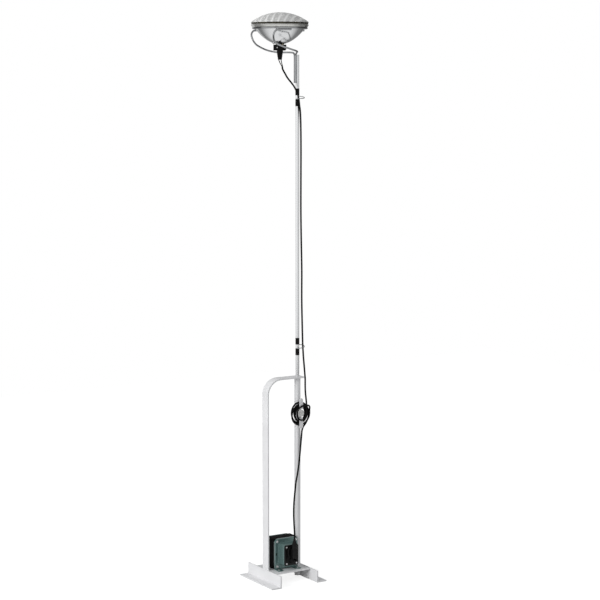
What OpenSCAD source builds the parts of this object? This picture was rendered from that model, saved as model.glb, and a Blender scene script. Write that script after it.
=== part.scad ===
// Telescopic floor lamp: a sealed-beam reflector lamp lies face up in a bent-wire cradle
// on a hexagonal stem, which slides in a hexagonal tube and is held by a clamp knob.
// The steel base carries its transformer between the handle strip and the tube.
// Origin: centre of the base on the floor. Feet run along Y, the tube stands at +X, +Z is up.

/* [Base] */
// Length of each angle foot, front to back
foot_l = 203; // [150:1:280]
// Height of a foot's upright web
foot_h = 39; // [32:1:60]
// Thickness of the foot profile
foot_t = 4; // [3:0.5:6]
// Width of the flat flange outside the web
flange_w = 31; // [20:1:50]
// Gap between the transformer's core and the corner of the tube
tube_gap = 2.1; // [1:0.1:20]
// Tray plate that shows behind the rear mounting tabs
tray_edge = 2; // [1:1:20]
// Thickness of the tray plate
tray_t = 4; // [3:0.5:6]
// Drop from the webs' top edges to the tray's top face
tray_drop = 2; // [0:0.5:6]
// Gap between the floor and the lower ends of both uprights
floor_gap = 6; // [4:1:10]

/* [Handle strip] */
// Width of the flat strip
strip_w = 34; // [26:1:44]
// Thickness of the flat strip
strip_t = 5; // [4:0.5:8]
// Height of the strip's top face above the floor
strip_top = 647; // [480:1:800]
// Outer radius of the bend in the strip
bend_r = 50; // [30:1:60]

/* [Outer tube] */
// Width of the hexagonal tube across its flats
tube_af = 19; // [18:0.5:24]
// Wall thickness of the tube
tube_wall = 2; // [1.5:0.25:3]

/* [Stem] */
// Width of the hexagonal stem across its flats
stem_af = 11.4; // [9:0.1:12]
// Wall thickness of the stem
stem_wall = 1.5; // [1:0.25:2.5]
// Height of the stem's upper end
stem_top = 1653; // [1350:1:2000]
// Length of stem inside the tube
stem_in = 342; // [240:1:480]
// Drop from the stem's upper end to the upper cord guide
guide_drop = 131; // [120:1:300]
// Height of the lower cord guide above the strip
guide_lift = 95; // [94:1:200]

/* [Clamp and cleat] */
// Drop from the strip's top face to the clamp screw's axis
clamp_drop = 116; // [90:1:140]
// Diameter of the clamp knob
knob_d = 24; // [18:1:30]
// Diameter of the clamp screw
screw_d = 6; // [4:0.5:8]
// Length of the cleat from horn tip to horn tip
cleat_h = 97; // [80:1:130]
// Width of the cleat's bar
cleat_w = 12; // [11:0.5:16]

/* [Lamp] */
// Distance from the stem's axis to the lamp's axis
head_offset = 63; // [56:1:80]
// Diameter of the lamp's rim
lamp_d = 178; // [176:1:190]
// Height of the lens above the rim
lens_rise = 30; // [15:1:45]
// Height of the cradle ring above the stem's upper end
ring_lift = 79.7; // [79:0.1:110]
// Radius of the cradle ring at its wire centre
ring_r = 83; // [82:0.5:86]
// Diameter of the cradle wire
wire_d = 5.5; // [4:0.25:6]

/* [Transformer] */
// Width of the laminated core
core_w = 82; // [68:1:110]
// Height of the laminated core
core_h = 97; // [80:1:130]
// Depth of the lamination stack
stack_d = 39; // [30:1:60]
// Depth of each end bell's raised pan
pan_d = 36.5; // [30:0.5:44]
// Diameter of the bolts through the core
core_bolt_d = 5; // [3:0.5:6]

/* [Cord] */
// Outer diameter of the round lamp cord
cord_d = 5.5; // [4:0.25:6.75]
// Number of times the cord is wound round the cleat
coil_turns = 4; // [4:1:4]

/* [Hidden] */
$fn = 64;
slip = 0.15;                // gap on each side of the sliding stem
air = 0.3;                  // gap between pieces that move past each other
fit = 0.15;                 // radial gap of a turning shaft in its hole

inner_w = core_w + 2 * (2 * tube_af / sqrt(3) + tube_gap);   // clear width between the webs
tray_z = foot_h - tray_drop;
front_y = -13.5;            // front face of the core
rear_y = front_y + stack_d;
core_z = tray_z + 2;        // the bells' foot tabs lie between the core and the tray
mid_z = core_z + core_h / 2;
skirt_d = 8.5;              // depth of the bells' skirts
tube_x = inner_w / 2 - tube_af / sqrt(3);          // tube corner touches the right web
tube_top = strip_top - strip_t;
strip_end = inner_w / 2 + foot_t;                  // the strip reaches over the tube to here
tube_in = tube_af - 2 * tube_wall;
half_af = tube_af / 2;
clamp_z = strip_top - clamp_drop;
stem_l = stem_top - tube_top + stem_in;
stem_bot = stem_top - stem_l;
guide_hi = stem_top - guide_drop;
guide_lo = strip_top + guide_lift;
lamp_x = tube_x - head_offset;
ring_z = stem_top + ring_lift;

// hexagonal bar with its corners on +X and -X
module hex(af, h) { cylinder(r = af / sqrt(3), h = h, $fn = 6); }

// rounded rectangle, centred
module round_rect(w, h, r) {
    square([w - 2 * r, h], center = true);
    square([w, h - 2 * r], center = true);
    for (x = [-1, 1], y = [-1, 1])
        translate([x * (w / 2 - r), y * (h / 2 - r)]) circle(r = r);
}

// plate standing in the XZ plane: its outline drawn at y and thickened towards +Y
module upright(y, t) { translate([0, y + t, 0]) rotate([90, 0, 0]) linear_extrude(t) children(); }

// ---- smooth curve through points, and a round tube swept along it ----
function unit(v) = v / norm(v);
function cat(a, b, c, d, t) = 0.5 * ((2 * b) + (c - a) * t
    + (2 * a - 5 * b + 4 * c - d) * t * t + (3 * b - a - 3 * c + d) * t * t * t);
function smooth(p, n) = let (q = concat([2 * p[0] - p[1]], p, [2 * p[len(p) - 1] - p[len(p) - 2]]))
    concat([for (i = [1:len(q) - 3], k = [0:n - 1]) cat(q[i - 1], q[i], q[i + 1], q[i + 2], k / n)],
        [p[len(p) - 1]]);
function heading(p, i) = unit(p[min(i + 1, len(p) - 1)] - p[max(i - 1, 0)]);
function side(v, t) = unit(v - (v * t) * t);
function sides(p, v, i) = i >= len(p) ? []
    : let (s = side(v, heading(p, i))) concat([s], sides(p, s, i + 1));
module tube_along(p, r, n, start = [0.3, 1, 0.2]) {
    s = sides(p, start, 0);
    m = len(p);
    v = [for (i = [0:m - 1]) let (t = heading(p, i), u = s[i], w = cross(t, u))
        for (k = [0:n - 1]) p[i] + r * (cos(360 * k / n) * u + sin(360 * k / n) * w)];
    ends = [for (i = [0, m - 1]) p[i]];
    polyhedron(concat(v, ends), concat(
        [for (i = [0:m - 2], k = [0:n - 1]) let (a = i * n + k, b = i * n + (k + 1) % n)
            each [[a, a + n, b + n], [a, b + n, b]]],
        [for (k = [0:n - 1]) [m * n, k, (k + 1) % n]],
        [for (k = [0:n - 1]) [m * n + 1, (m - 1) * n + (k + 1) % n, (m - 1) * n + k]]));
}

// ---- base ----
module foot(sx) {
    r = 3;
    color("#e4e4e8") translate([sx * inner_w / 2, 0, 0]) scale_x(sx) {
        difference() {
            translate([0, -foot_l / 2, 0]) cube([foot_t, foot_l, foot_h]);
            for (m = [0, 1]) mirror([0, m, 0])
                translate([-1, foot_l / 2 - r, foot_h - r]) difference() {
                    cube([foot_t + 2, r + 1, r + 1]);
                    rotate([0, 90, 0]) cylinder(r = r, h = foot_t + 2);
                }
        }
        translate([foot_t, -foot_l / 2, 0]) cube([flange_w, foot_l, foot_t]);
    }
}
module scale_x(sx) { if (sx < 0) mirror([1, 0, 0]) children(); else children(); }
module foot_left() { foot(-1); }
module foot_right() { foot(1); }

tab_r = 13;
tab_x = core_w / 2 - 7;
tab_out = 11;               // from the bell's flange face to the centre of its foot tab
tab_cut = 5.8;              // taken off the tabs' outer sides, beside the strip and the tube
tray_d = 2 * (rear_y + skirt_d + tab_out + tab_r + tray_edge);
tray_screw_d = 4;
module at_tabs() {
    for (x = [-tab_x, tab_x], y = [front_y - skirt_d - tab_out, rear_y + skirt_d + tab_out])
        translate([x, y, 0]) children();
}
module base_tray() {
    r = 8;
    color("#e0e0e4") difference() {
        translate([0, 0, tray_z - tray_t]) linear_extrude(tray_t) round_rect(inner_w, tray_d, r);
        translate([tube_x, 0, 0]) hex(tube_af, foot_h);
        translate([-inner_w / 2 - 1, -strip_w / 2, 0]) cube([strip_t + 1, strip_w, foot_h]);
        at_tabs() cylinder(d = tray_screw_d + 0.4, h = foot_h);
    }
}

// flat bar: upright at the left, bent over and running across the top of the tube
module handle_strip() {
    x0 = -inner_w / 2;
    color("#e2e2e6") difference() {
        upright(-strip_w / 2, strip_w) difference() {
            union() {
                translate([x0, floor_gap]) square([strip_t, strip_top - bend_r - floor_gap]);
                translate([x0 + bend_r, tube_top]) square([strip_end - x0 - bend_r, strip_t]);
                translate([x0 + bend_r, strip_top - bend_r]) intersection() {
                    difference() { circle(r = bend_r, $fn = 128); circle(r = bend_r - strip_t, $fn = 128); }
                    translate([-bend_r, 0]) square(bend_r);
                }
            }
        }
        translate([tube_x, 0, tube_top - 1]) hex(stem_af + 2 * air, strip_t + 2);
    }
}

// ---- outer tube with its fittings ----
boss_d = 11;
boss_h = 5;
module outer_tube() {
    color("#dcdcdf") translate([tube_x, 0, 0]) difference() {
        translate([0, 0, floor_gap]) hex(tube_af, tube_top - floor_gap);
        translate([0, 0, floor_gap - 1]) hex(tube_in, tube_top - floor_gap + 2);
        translate([0, 0, clamp_z]) rotate([90, 0, 0]) cylinder(d = screw_d + 0.6, h = tube_af);
    }
}
module tube_end_plug() {
    color("#202022") translate([tube_x, 0, floor_gap - 1.5]) {
        hex(tube_af - 1, 1.5);
        hex(tube_in, 9);
    }
}
bush_l = 30;
module guide_bush() {
    color("#d0d0d0") translate([tube_x, 0, tube_top - bush_l]) difference() {
        hex(tube_in, bush_l);
        translate([0, 0, -1]) hex(stem_af + 2 * slip, bush_l + 2);
    }
}

// bent bar: web on the tube's front, two arms, and a horn up and down from their ends
cleat_t = 3;
arm_out = cleat_t + 2 * cord_d + 1.2;     // room for two layers of cord behind the horns
arm_gap = knob_d + 4;                     // clear height between the arms, round the knob
module cord_cleat() {
    y0 = -half_af;
    color("#d8d8da") translate([tube_x - cleat_w / 2, 0, clamp_z]) difference() {
        union() {
            translate([0, y0 - cleat_t, -arm_gap / 2 - cleat_t])
                cube([cleat_w, cleat_t, arm_gap + 2 * cleat_t]);
            for (m = [0, 1]) mirror([0, 0, m]) {
                translate([0, y0 - arm_out, arm_gap / 2]) cube([cleat_w, arm_out, cleat_t]);
                translate([0, y0 - arm_out, arm_gap / 2])
                    cube([cleat_w, cleat_t, cleat_h / 2 - arm_gap / 2 - cleat_w / 2]);
                translate([cleat_w / 2, y0 - arm_out + cleat_t, cleat_h / 2 - cleat_w / 2])
                    rotate([90, 0, 0]) cylinder(d = cleat_w, h = cleat_t);
            }
        }
        translate([cleat_w / 2, y0 + 1, 0]) rotate([90, 0, 0]) cylinder(d = boss_d, h = cleat_t + 2);
    }
}
module clamp_nut() {
    color("#b8b8ba") translate([tube_x, -half_af, clamp_z]) rotate([90, 0, 0]) difference() {
        cylinder(d = boss_d, h = boss_h);
        translate([0, 0, -1]) cylinder(d = screw_d + 2 * fit, h = boss_h + 2);
    }
}
knob_h = 7;
module clamp_screw() {
    from = stem_af / 2 + air;
    color("#b0b0b2") translate([tube_x, -from, clamp_z]) rotate([90, 0, 0])
        cylinder(d = screw_d, h = half_af + boss_h + 4 - from);
}
module clamp_knob() {
    color("#dededf") translate([tube_x, -half_af - boss_h - air, clamp_z]) rotate([90, 0, 0]) difference() {
        union() {
            cylinder(d = knob_d, h = knob_h - 1);
            cylinder(d = knob_d - 2, h = knob_h);
        }
        translate([0, 0, -1]) cylinder(d = screw_d, h = 5 - air);
    }
}

// ---- sliding stem ----
module stem_tube() {
    color("#c9ccd0") translate([tube_x, 0, stem_bot]) difference() {
        hex(stem_af, stem_l);
        translate([0, 0, -1]) hex(stem_af - 2 * stem_wall, stem_l - 2);
    }
}
slider_l = 30;
module stem_slider() {
    color("#3a3a3c") translate([tube_x, 0, stem_bot]) difference() {
        translate([0, 0, -4]) hex(tube_in - 2 * slip, slider_l + 4);
        hex(stem_af, slider_l + 1);
    }
}

// cord guide: one wire, bound to the stem above and below, with an open loop between
guide_wire_d = 2.4;
wrap_gap = 12.8;
wrap_l = 21;
wrap_t = 0.4;
foot_lift = stem_af / 2 + guide_wire_d / 2 + 0.02;
function foot_at(a) = [foot_lift * cos(a), foot_lift * sin(a)];
guide_loop = [[-6.9, -5.2, -5.2], [-8.5, -9, -4.8], [-6.5, -13.5, -4.3], [0, -16, -3.8], [8, -15, -3.3],
    [15, -12, -2.8], [21, -7.5, -1.8], [24.5, -1, -0.3], [24.5, 4, 1.2], [20, 8.5, 2.5],
    [14, 9.5, 3.3], [9.4, 7.4, 4.4], [7.3, 5.2, 5.2]];
module guide(z) {
    low = foot_at(210);
    high = foot_at(30);
    zf = wrap_gap / 2 + wrap_l;
    leave = wrap_gap / 2 - 0.7;
    loop = concat([[low[0], low[1], -leave]], guide_loop, [[high[0], high[1], leave]]);
    pts = concat([[low[0], low[1], -zf]], smooth(loop, 3), [[high[0], high[1], zf]]);
    color("#b4b6ba") translate([tube_x, 0, z]) tube_along(pts, guide_wire_d / 2, 8);
}
module guide_upper() { guide(guide_hi); }
module guide_lower() { guide(guide_lo); }
module wraps(z) {
    color("#1b1b1d") translate([tube_x, 0, z]) for (s = [-1, 1]) let (a = s < 0 ? 210 : 30)
        translate([0, 0, s < 0 ? -wrap_gap / 2 - wrap_l : wrap_gap / 2]) linear_extrude(wrap_l) difference() {
            union() {
                circle(r = (stem_af + 2 * wrap_t) / sqrt(3), $fn = 6);
                translate(foot_at(a)) circle(d = guide_wire_d + 2 * wrap_t, $fn = 24);
            }
            circle(r = stem_af / sqrt(3), $fn = 6);
            translate(foot_at(a)) circle(d = guide_wire_d + 0.1, $fn = 24);
        }
}
module guide_wraps_upper() { wraps(guide_hi); }
module guide_wraps_lower() { wraps(guide_lo); }

// ---- wire cradle ----
wire_r = wire_d / 2;
module cradle_ring() {
    color("#bfc3c8") translate([lamp_x, 0, ring_z])
        rotate_extrude($fn = 128) translate([ring_r, 0]) circle(r = wire_r, $fn = 24);
}
// route of one arm: under the ring, out and down, below the reflector and along the stem
leg_y = wire_r + 0.1;
leg_x = -(stem_af / 2 + wire_r + 0.1 - sin(30) * leg_y) / cos(30);
leg_end = stem_top - 87;
arm_arc = [for (a = [84, 72, 60]) [-ring_r * cos(a), ring_r * sin(a), -wire_d - 0.05]];
arm_bow = [[-52.5, 70.5, -7], [-59, 69, -12.5], [-62, 67, -20], [-61, 64.5, -29], [-57, 62, -39],
    [-48, 63, -48.5], [-32.5, 68, -55.5], [-14, 72.5, -62], [3.5, 73.5, -67], [17.5, 69, -70],
    [27, 58.5, -72], [36, 44, -72.5], [44.5, 29.5, -72.5], [50.5, 16.5, -73]];
arm_leg = [[leg_x, 8, -75], [leg_x, 3.8, -81], [leg_x, leg_y, -91], [leg_x, leg_y, -110]];
module cradle_arm(sy) {
    above = [for (p = concat(arm_arc, arm_bow)) [lamp_x + p[0], sy * p[1], ring_z + p[2]]];
    below = [for (p = arm_leg) [tube_x + p[0], sy * p[1], ring_z + p[2]]];
    pts = concat(above, below, [[tube_x + leg_x, sy * leg_y, leg_end]]);
    color("#bfc3c8") tube_along(smooth(pts, 3), wire_r, 12);
}
module cradle_arm_front() { cradle_arm(-1); }
module cradle_arm_rear() { cradle_arm(1); }
// short wire stub welded under the ring on the stem's side
module lamp_stop() {
    color("#bfc3c8") translate([lamp_x + ring_r - 5, 0, ring_z - wire_d - 0.05])
        rotate([0, 90, 0]) cylinder(r = wire_r, h = 10);
}

// ---- sealed-beam lamp ----
rim_z = ring_z + wire_r + 0.05;      // underside of the rim rests on the ring
dish_z = ring_z - 48.7;              // outer pole of the reflector
dish_k = 125;                        // outer surface: height = r * r / dish_k
dish_r = sqrt((rim_z - dish_z) * dish_k);
glass = 2.5;
rim_h = 16;
lamp_r = lamp_d / 2;
lens_z = rim_z + rim_h;
lens_r = (lamp_r * lamp_r + lens_rise * lens_rise) / (2 * lens_rise);
module lamp_reflector() {
    out = [for (i = [0:12]) let (r = dish_r * i / 12) [r, dish_z + r * r / dish_k]];
    ins = [for (i = [12:-1:0]) let (r = (dish_r - glass) * i / 12)
        [r, dish_z + glass + r * r / dish_k + glass * r / dish_r]];
    color("#b9bcc0") translate([lamp_x, 0, 0]) {
        rotate_extrude($fn = 96) polygon(concat(out,
            [[lamp_r - 4, rim_z], [lamp_r, rim_z + 6], [lamp_r, lens_z - 3.5], [lamp_r - 5, lens_z - 3.5],
            [lamp_r - 5, rim_z + 6]], ins));
        difference() {
            translate([-23, 0, dish_z + 2]) cylinder(d = 6, h = 5);
            translate([0, 0, dish_z + 4.3]) cylinder(r = 40, h = 9);
        }
    }
}
module lamp_lens() {
    color("#c8cdd2", 0.6) translate([lamp_x, 0, 0]) rotate_extrude($fn = 96) difference() {
        intersection() {
            translate([0, lens_z + lens_rise - lens_r]) difference() {
                circle(r = lens_r, $fn = 256);
                circle(r = lens_r - 3, $fn = 256);
            }
            translate([0, lens_z - 3.4]) square([lamp_r, lens_rise + 6]);
        }
    }
}
module lamp_burner() {
    color("#d8d2c0") translate([lamp_x, 0, 0]) {
        for (s = [-1, 1]) translate([s * 7, 0, dish_z + glass + 0.9]) cylinder(d = 2, h = 30);
        translate([-9, 0, dish_z + 30]) rotate([0, 90, 0]) cylinder(d = 8, h = 18);
    }
}
prong_x = 9;
body_top = dish_z - 0.6;
module lamp_terminals() {
    color("#a8a48c") translate([lamp_x, 0, 0]) for (s = [-1, 1]) {
        translate([s * prong_x - 1, -3, body_top - 11]) cube([2, 6, 11.8]);
        difference() {
            translate([s * prong_x, 0, body_top - 0.1]) cylinder(d = 9, h = 2.6);
            translate([0, 0, body_top]) rotate_extrude() polygon([for (i = [0:6]) let (r = 3 * i)
                [r, 0.45 + r * r / dish_k], [18, 9], [0, 9]]);
        }
    }
}
head_w = 38;
head_h = 18;
tail_h = 28;
module lamp_connector() {
    zb = body_top - 0.2 - head_h;
    color("#151516") translate([lamp_x, 0, 0]) difference() {
        union() {
            upright(-7.5, 15) difference() {
                polygon([[-head_w / 2, zb], [head_w / 2 - 3, zb], [head_w / 2, zb + 4],
                    [head_w / 2, zb + head_h], [-head_w / 2, zb + head_h]]);
            }
            upright(-6, 12) polygon([[-6, zb - tail_h], [6, zb - tail_h], [9, zb], [-9, zb]]);
        }
        for (s = [-1, 1]) translate([s * prong_x - 1.05, -3.05, body_top - 11.2]) cube([2.1, 6.1, 12]);
    }
}

// ---- transformer ----
bolt_x = core_w / 2 - 7;
bolt_z = core_h / 2 - 8;
leg_h = core_h / 3;                  // middle leg, which the windings go round
win_w = core_w - leg_h;
win_h = leg_h / 2;
module at_bolts() {
    for (x = [-bolt_x, bolt_x], z = [-bolt_z, bolt_z])
        translate([x, front_y, mid_z + z]) rotate([-90, 0, 0]) children();
}
module transformer_core() {
    color("#161618") difference() {
        translate([-core_w / 2, front_y, core_z]) cube([core_w, stack_d, core_h]);
        for (s = [-1, 1]) translate([-win_w / 2, front_y - 1, mid_z + s * 0.75 * leg_h - win_h / 2])
            cube([win_w, stack_d + 2, win_h]);
        at_bolts() translate([0, 0, -1]) cylinder(d = core_bolt_d + 0.4, h = stack_d + 2);
    }
}
wall = 1;                            // bobbin wall and its clearance round the leg
module ring_block(x0, w, in, out) {
    translate([x0, 0, 0]) difference() {
        translate([0, front_y - out, mid_z - leg_h / 2 - out]) cube([w, stack_d + 2 * out, leg_h + 2 * out]);
        translate([-1, front_y - in, mid_z - leg_h / 2 - in]) cube([w + 2, stack_d + 2 * in, leg_h + 2 * in]);
    }
}
coil_w = win_w - 1;
coil_out = win_h - 2;
module winding_bobbin() {
    color("#e8e4d4") {
        ring_block(-coil_w / 2, coil_w, 0.3, 0.3 + wall);
        for (x = [-coil_w / 2, -wall / 2, coil_w / 2 - wall]) ring_block(x, wall, 0.3, coil_out);
    }
}
module winding(s) {
    w = coil_w / 2 - 1.5 * wall - 0.2;
    color("#9a5a34") ring_block(s > 0 ? wall / 2 + 0.1 : -wall / 2 - 0.1 - w, w, 0.4 + wall, coil_out - 1);
}
module primary_winding() { winding(-1); }
module secondary_winding() { winding(1); }

// pressed cover: flange with a turned-back skirt, raised pan and two foot tabs
sheet = 1.6;
pan_w = coil_w + 2 * sheet + 4;
pan_h = leg_h + 2 * coil_out + 2 * sheet + 4;
bend_in = 2.5;
module bell_shape(rear) {
    face = skirt_d;
    difference() {
        union() {
            upright(-face, face) round_rect(core_w + 0.4, core_h, 11);
            for (s = [-1, 1]) translate([s * (core_w / 2 + 0.2 - 8), 0, -core_h / 2 + 8])
                upright(-face, face) square(16, center = true);
            upright(-pan_d, pan_d - face) round_rect(pan_w, pan_h, 7);
        }
        upright(-face + sheet, face) round_rect(core_w - 2 * sheet, core_h - 2 * sheet, 9.5);
        upright(-pan_d + sheet, pan_d) round_rect(pan_w - 2 * sheet, pan_h - 2 * sheet, 5.5);
        for (x = [-bolt_x, bolt_x], z = [-bolt_z, bolt_z]) translate([x, 1, z])
            rotate([90, 0, 0]) cylinder(d = core_bolt_d + 0.4, h = face + 2);
        translate([-bolt_x - 3.4, 0, 0]) upright(-face - 1, face + 2) round_rect(4, 8, 1.9);
        if (rear) translate([0, 0, -18]) rotate([90, 0, 0]) cylinder(d = gland_d + 0.4, h = pan_d + 1);
        else translate([0, -pan_d - 1, -30]) cube_hole();
    }
    translate([0, 0, -core_h / 2 - 2]) linear_extrude(2) for (s = [-1, 1]) difference() {
        union() {
            translate([s * tab_x, -face - tab_out]) circle(r = tab_r);
            translate([s * tab_x - (s < 0 ? tab_r - tab_cut : tab_r), -face - tab_out])
                square([2 * tab_r - tab_cut, face + tab_out]);
        }
        translate([s * tab_x, -face - tab_out]) circle(d = tray_screw_d + 0.4);
    }
    for (s = [-1, 1]) translate([s * tab_x - (s < 0 ? tab_r - tab_cut : tab_r), -face, -core_h / 2])
        rotate([90, 0, 90]) linear_extrude(2 * tab_r - tab_cut) tab_bend();
}
// rounded inner corner where a tab turns out of the flange
module tab_bend() {
    difference() {
        translate([-bend_in, -0.1]) square([bend_in + 0.1, bend_in + 0.1]);
        translate([-bend_in, bend_in]) circle(r = bend_in);
    }
}
module cube_hole() { translate([-20, 0, 3]) cube([40, 4, 54]); }
module front_bell() { color("#4d6c6a") translate([0, front_y, mid_z]) bell_shape(false); }
module rear_bell() { color("#4d6c6a") translate([0, rear_y, mid_z]) rotate([0, 0, 180]) bell_shape(true); }

head_r = 4.2;
module core_bolts() {
    reach = skirt_d + 4.5;
    color("#c8c8ca") at_bolts() {
        translate([0, 0, -skirt_d - 3]) cylinder(r = head_r, h = 3);
        translate([0, 0, -skirt_d - 3]) cylinder(d = core_bolt_d, h = stack_d + skirt_d + 3 + reach);
    }
}
module core_nuts() {
    color("#c8c8ca") at_bolts() translate([0, 0, stack_d + skirt_d]) difference() {
        cylinder(d = 9, h = 4, $fn = 6);
        translate([0, 0, -1]) cylinder(d = core_bolt_d + 0.1, h = 6);
    }
}
tray_nut_h = 3.2;
module tray_screws() {
    color("#c8c8ca") at_tabs() {
        translate([0, 0, core_z]) cylinder(d = 7.5, h = 2.2);
        translate([0, 0, tray_z - tray_t - tray_nut_h - 1.5])
            cylinder(d = tray_screw_d, h = tray_t + tray_nut_h + 4);
    }
}
module tray_nuts() {
    color("#c8c8ca") at_tabs() translate([0, 0, tray_z - tray_t - tray_nut_h]) difference() {
        cylinder(d = 8, h = tray_nut_h, $fn = 6);
        translate([0, 0, -1]) cylinder(d = tray_screw_d + 0.1, h = 6);
    }
}

// moulded panel on the front pan, with the lamp outlet above and the fuse below
panel_w = pan_w - 5;
panel_h = pan_h - 2;
panel_t = 3;
panel_y = front_y - pan_d;           // face of the pan
outlet_x = 5;
outlet_z = mid_z + 7;
pin_gap = 19;
pin_d = 4;
fuse_z = mid_z - 17;
cap_d = 16;
module at_panel_screws() {
    for (x = [-1, 1], z = [-1, 1])
        translate([x * (panel_w / 2 - 7.4), panel_y, mid_z + z * (panel_h / 2 - 6.5)])
            rotate([90, 0, 0]) children();
}
rim_out = 2;                         // a raised rim bows round the plug on its left
module socket_panel() {
    color("#1a1a1b") {
        difference() {
            translate([0, 0, mid_z]) upright(panel_y - panel_t, panel_t) round_rect(panel_w, panel_h, 6);
            for (s = [-1, 1]) translate([outlet_x, panel_y + 1, outlet_z + s * pin_gap / 2])
                rotate([90, 0, 0]) cylinder(d = pin_d + 0.4, h = 6);
            translate([0, panel_y + 1, fuse_z]) rotate([90, 0, 0]) cylinder(d = 13, h = 6);
        }
        upright(panel_y - panel_t - rim_out, rim_out + 0.2) difference() {
            translate([outlet_x, outlet_z + 3]) round_rect(40, 36, 14);
            translate([outlet_x, outlet_z + 3]) round_rect(30, 27, 9.5);
            translate([outlet_x - plug_w / 2 - 0.6, 0]) square([60, 200]);
        }
    }
}
module panel_screws() {
    color("#c8c8ca") at_panel_screws() translate([0, 0, panel_t]) {
        cylinder(d = 5.6, h = 1.8);
    }
}
module outlet_contacts() {
    color("#b89a50") for (s = [-1, 1]) translate([outlet_x, panel_y + 16, outlet_z + s * pin_gap / 2])
        rotate([90, 0, 0]) difference() {
            cylinder(d = pin_d + 3, h = 16 - 0.2);
            translate([0, 0, 1]) cylinder(d = pin_d + 0.1, h = 20);
        }
}
module fuse_holder() {
    color("#1a1a1b") translate([0, panel_y - panel_t, fuse_z]) rotate([-90, 0, 0]) difference() {
        cylinder(d = 12.9, h = 18);
        translate([0, 0, -1]) cylinder(d = 8.1, h = 18);
    }
}
module fuse_link() {
    color("#c8ccd0") translate([0, panel_y - panel_t - 4.4, fuse_z]) rotate([-90, 0, 0])
        cylinder(d = 5, h = 20);
}
module fuse_cap() {
    color("#1a1a1b") translate([0, panel_y - panel_t - air, fuse_z]) rotate([90, 0, 0]) difference() {
        union() {
            cylinder(d = cap_d, h = 6);
            translate([0, 0, -air - 3]) cylinder(d = 8, h = 4 + air);
        }
        translate([-0.6, -5, 5]) cube([1.2, 10, 2]);
        translate([0, 0, -air - 4]) cylinder(d = 5.2, h = 8.3 + air);
    }
}
gland_d = 13;
module mains_gland() {
    y = rear_y + pan_d;
    color("#1a1a1b") translate([0, y, mid_z - 18]) rotate([-90, 0, 0]) difference() {
        union() {
            translate([0, 0, -4]) cylinder(d = gland_d, h = 8);
            cylinder(d = gland_d + 5, h = 4);
            translate([0, 0, 4]) cylinder(d1 = gland_d + 1, d2 = gland_d - 3, h = 9);
        }
        translate([0, 0, -5]) cylinder(d = 7, h = 20);
    }
}

// ---- plug, leads and cord ----
plug_w = 18;
plug_h = 40;
plug_front = -70;
plug_back = panel_y - panel_t - 0.1;
plug_z = fuse_z - 2.2;               // underside of the plug's grip
plug_y = -63;                        // axis of the cord where it enters the plug
relief_z = 66;                       // height of the strain relief's foot above that underside
relief_top = 73.4;                   // and of its upper end
// grip cut out round the fuse cap, shoulders that draw in, and a strain relief
module plug_body() {
    d = plug_back - plug_front;
    shoulder = [[8.9, 0], [8.9, 13], [8.1, 20], [5.8, 26], [4.4, 32], [0, 32]];
    color("#131314") {
        upright(plug_front, d) difference() {
            translate([outlet_x, plug_z + plug_h / 2]) round_rect(plug_w, plug_h, 3);
            translate([0, fuse_z]) circle(d = cap_d + 3);
        }
        translate([outlet_x, 0, plug_z + 36]) upright(plug_front + 2, d - 5)
            for (m = [0, 1]) mirror([m, 0]) polygon(concat([[0, 0]], shoulder));
        translate([outlet_x, plug_y, plug_z + relief_z])
            cylinder(d1 = 9.6, d2 = 7.6, h = relief_top - relief_z);
    }
}
module plug_pins() {
    color("#c9b46c") for (s = [-1, 1]) translate([outlet_x, plug_back, outlet_z + s * pin_gap / 2])
        rotate([-90, 0, 0]) cylinder(d = pin_d, h = 17);
}

cord_r = cord_d / 2;
boot_z = body_top - 0.2 - head_h - tail_h;         // underside of the connector's boot
lead_end = [lamp_x + 8.93, 0, boot_z - 23.2];
module lamp_leads() {
    color("#101011") for (s = [-1, 1]) tube_along([[lamp_x + s * 3.4, 0, boot_z],
        [lamp_x + s * 3.4, 0, boot_z - 2.4], [lamp_x + s * 2.6 + 2, 0, lead_end[2] + 11],
        [lead_end[0] + s * 1.35 - 0.7, 0, lead_end[2] + 3.5],
        [lead_end[0] + s * 1.35, 0, lead_end[2] + 0.4]], 1.2, 6);
}

// moves each point of a route, which is written relative to a place on the lamp
function at(place, route) = [for (p = route) place + p];
// points part of the way from one place to another, with a share of the way on each axis
function between(a, b, shares) = [for (f = shares) [for (k = [0:2]) a[k] + (b[k] - a[k]) * f[k]]];

// coil: spirals in through the front layer, climbs half a turn, and spirals out at the back;
// its first and last turns each hang a little loose on one side
half_climb = 0.25;
mid_turn = coil_turns / 2;
coil_c = [tube_x, clamp_z - 1.9];
coil_in = [knob_d / 2 + 5.5, arm_gap / 2 + cleat_t + 7];
coil_out_r = coil_in + (mid_turn - half_climb) * [cord_d + 3.6, cord_d + 0.7];
layer_front = -half_af - arm_out + cleat_t + cord_r + 0.25;
layer_back = layer_front + cord_d + 0.5;
slack = 3.4;
slack_l = 0.56;                      // length of a loose stretch, in turns
function hang(t, t0) = t <= t0 || t >= t0 + slack_l ? 0 : slack * pow(sin(180 * (t - t0) / slack_l), 2);
function coil_s(t) = max(0, (abs(t - mid_turn) - half_climb) / (mid_turn - half_climb));
function coil_y(t) = let (u = min(1, max(0, (t - mid_turn + half_climb) / (2 * half_climb))))
    layer_front + (layer_back - layer_front) * u * u * (3 - 2 * u);
function coil_pt(t) = let (h = hang(t, 0.12) + hang(t, coil_turns - slack_l) * 0.8,
    r = coil_in + (coil_out_r - coil_in) * coil_s(t) + [h, h])
    [coil_c[0] + r[0] * cos(360 * t), coil_y(t), coil_c[1] - r[1] * sin(360 * t)];
coil_body = [for (i = [0:24 * coil_turns]) coil_pt(i / 24)];
coil_first = coil_body[0] + [0, 0, cord_d];
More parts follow.
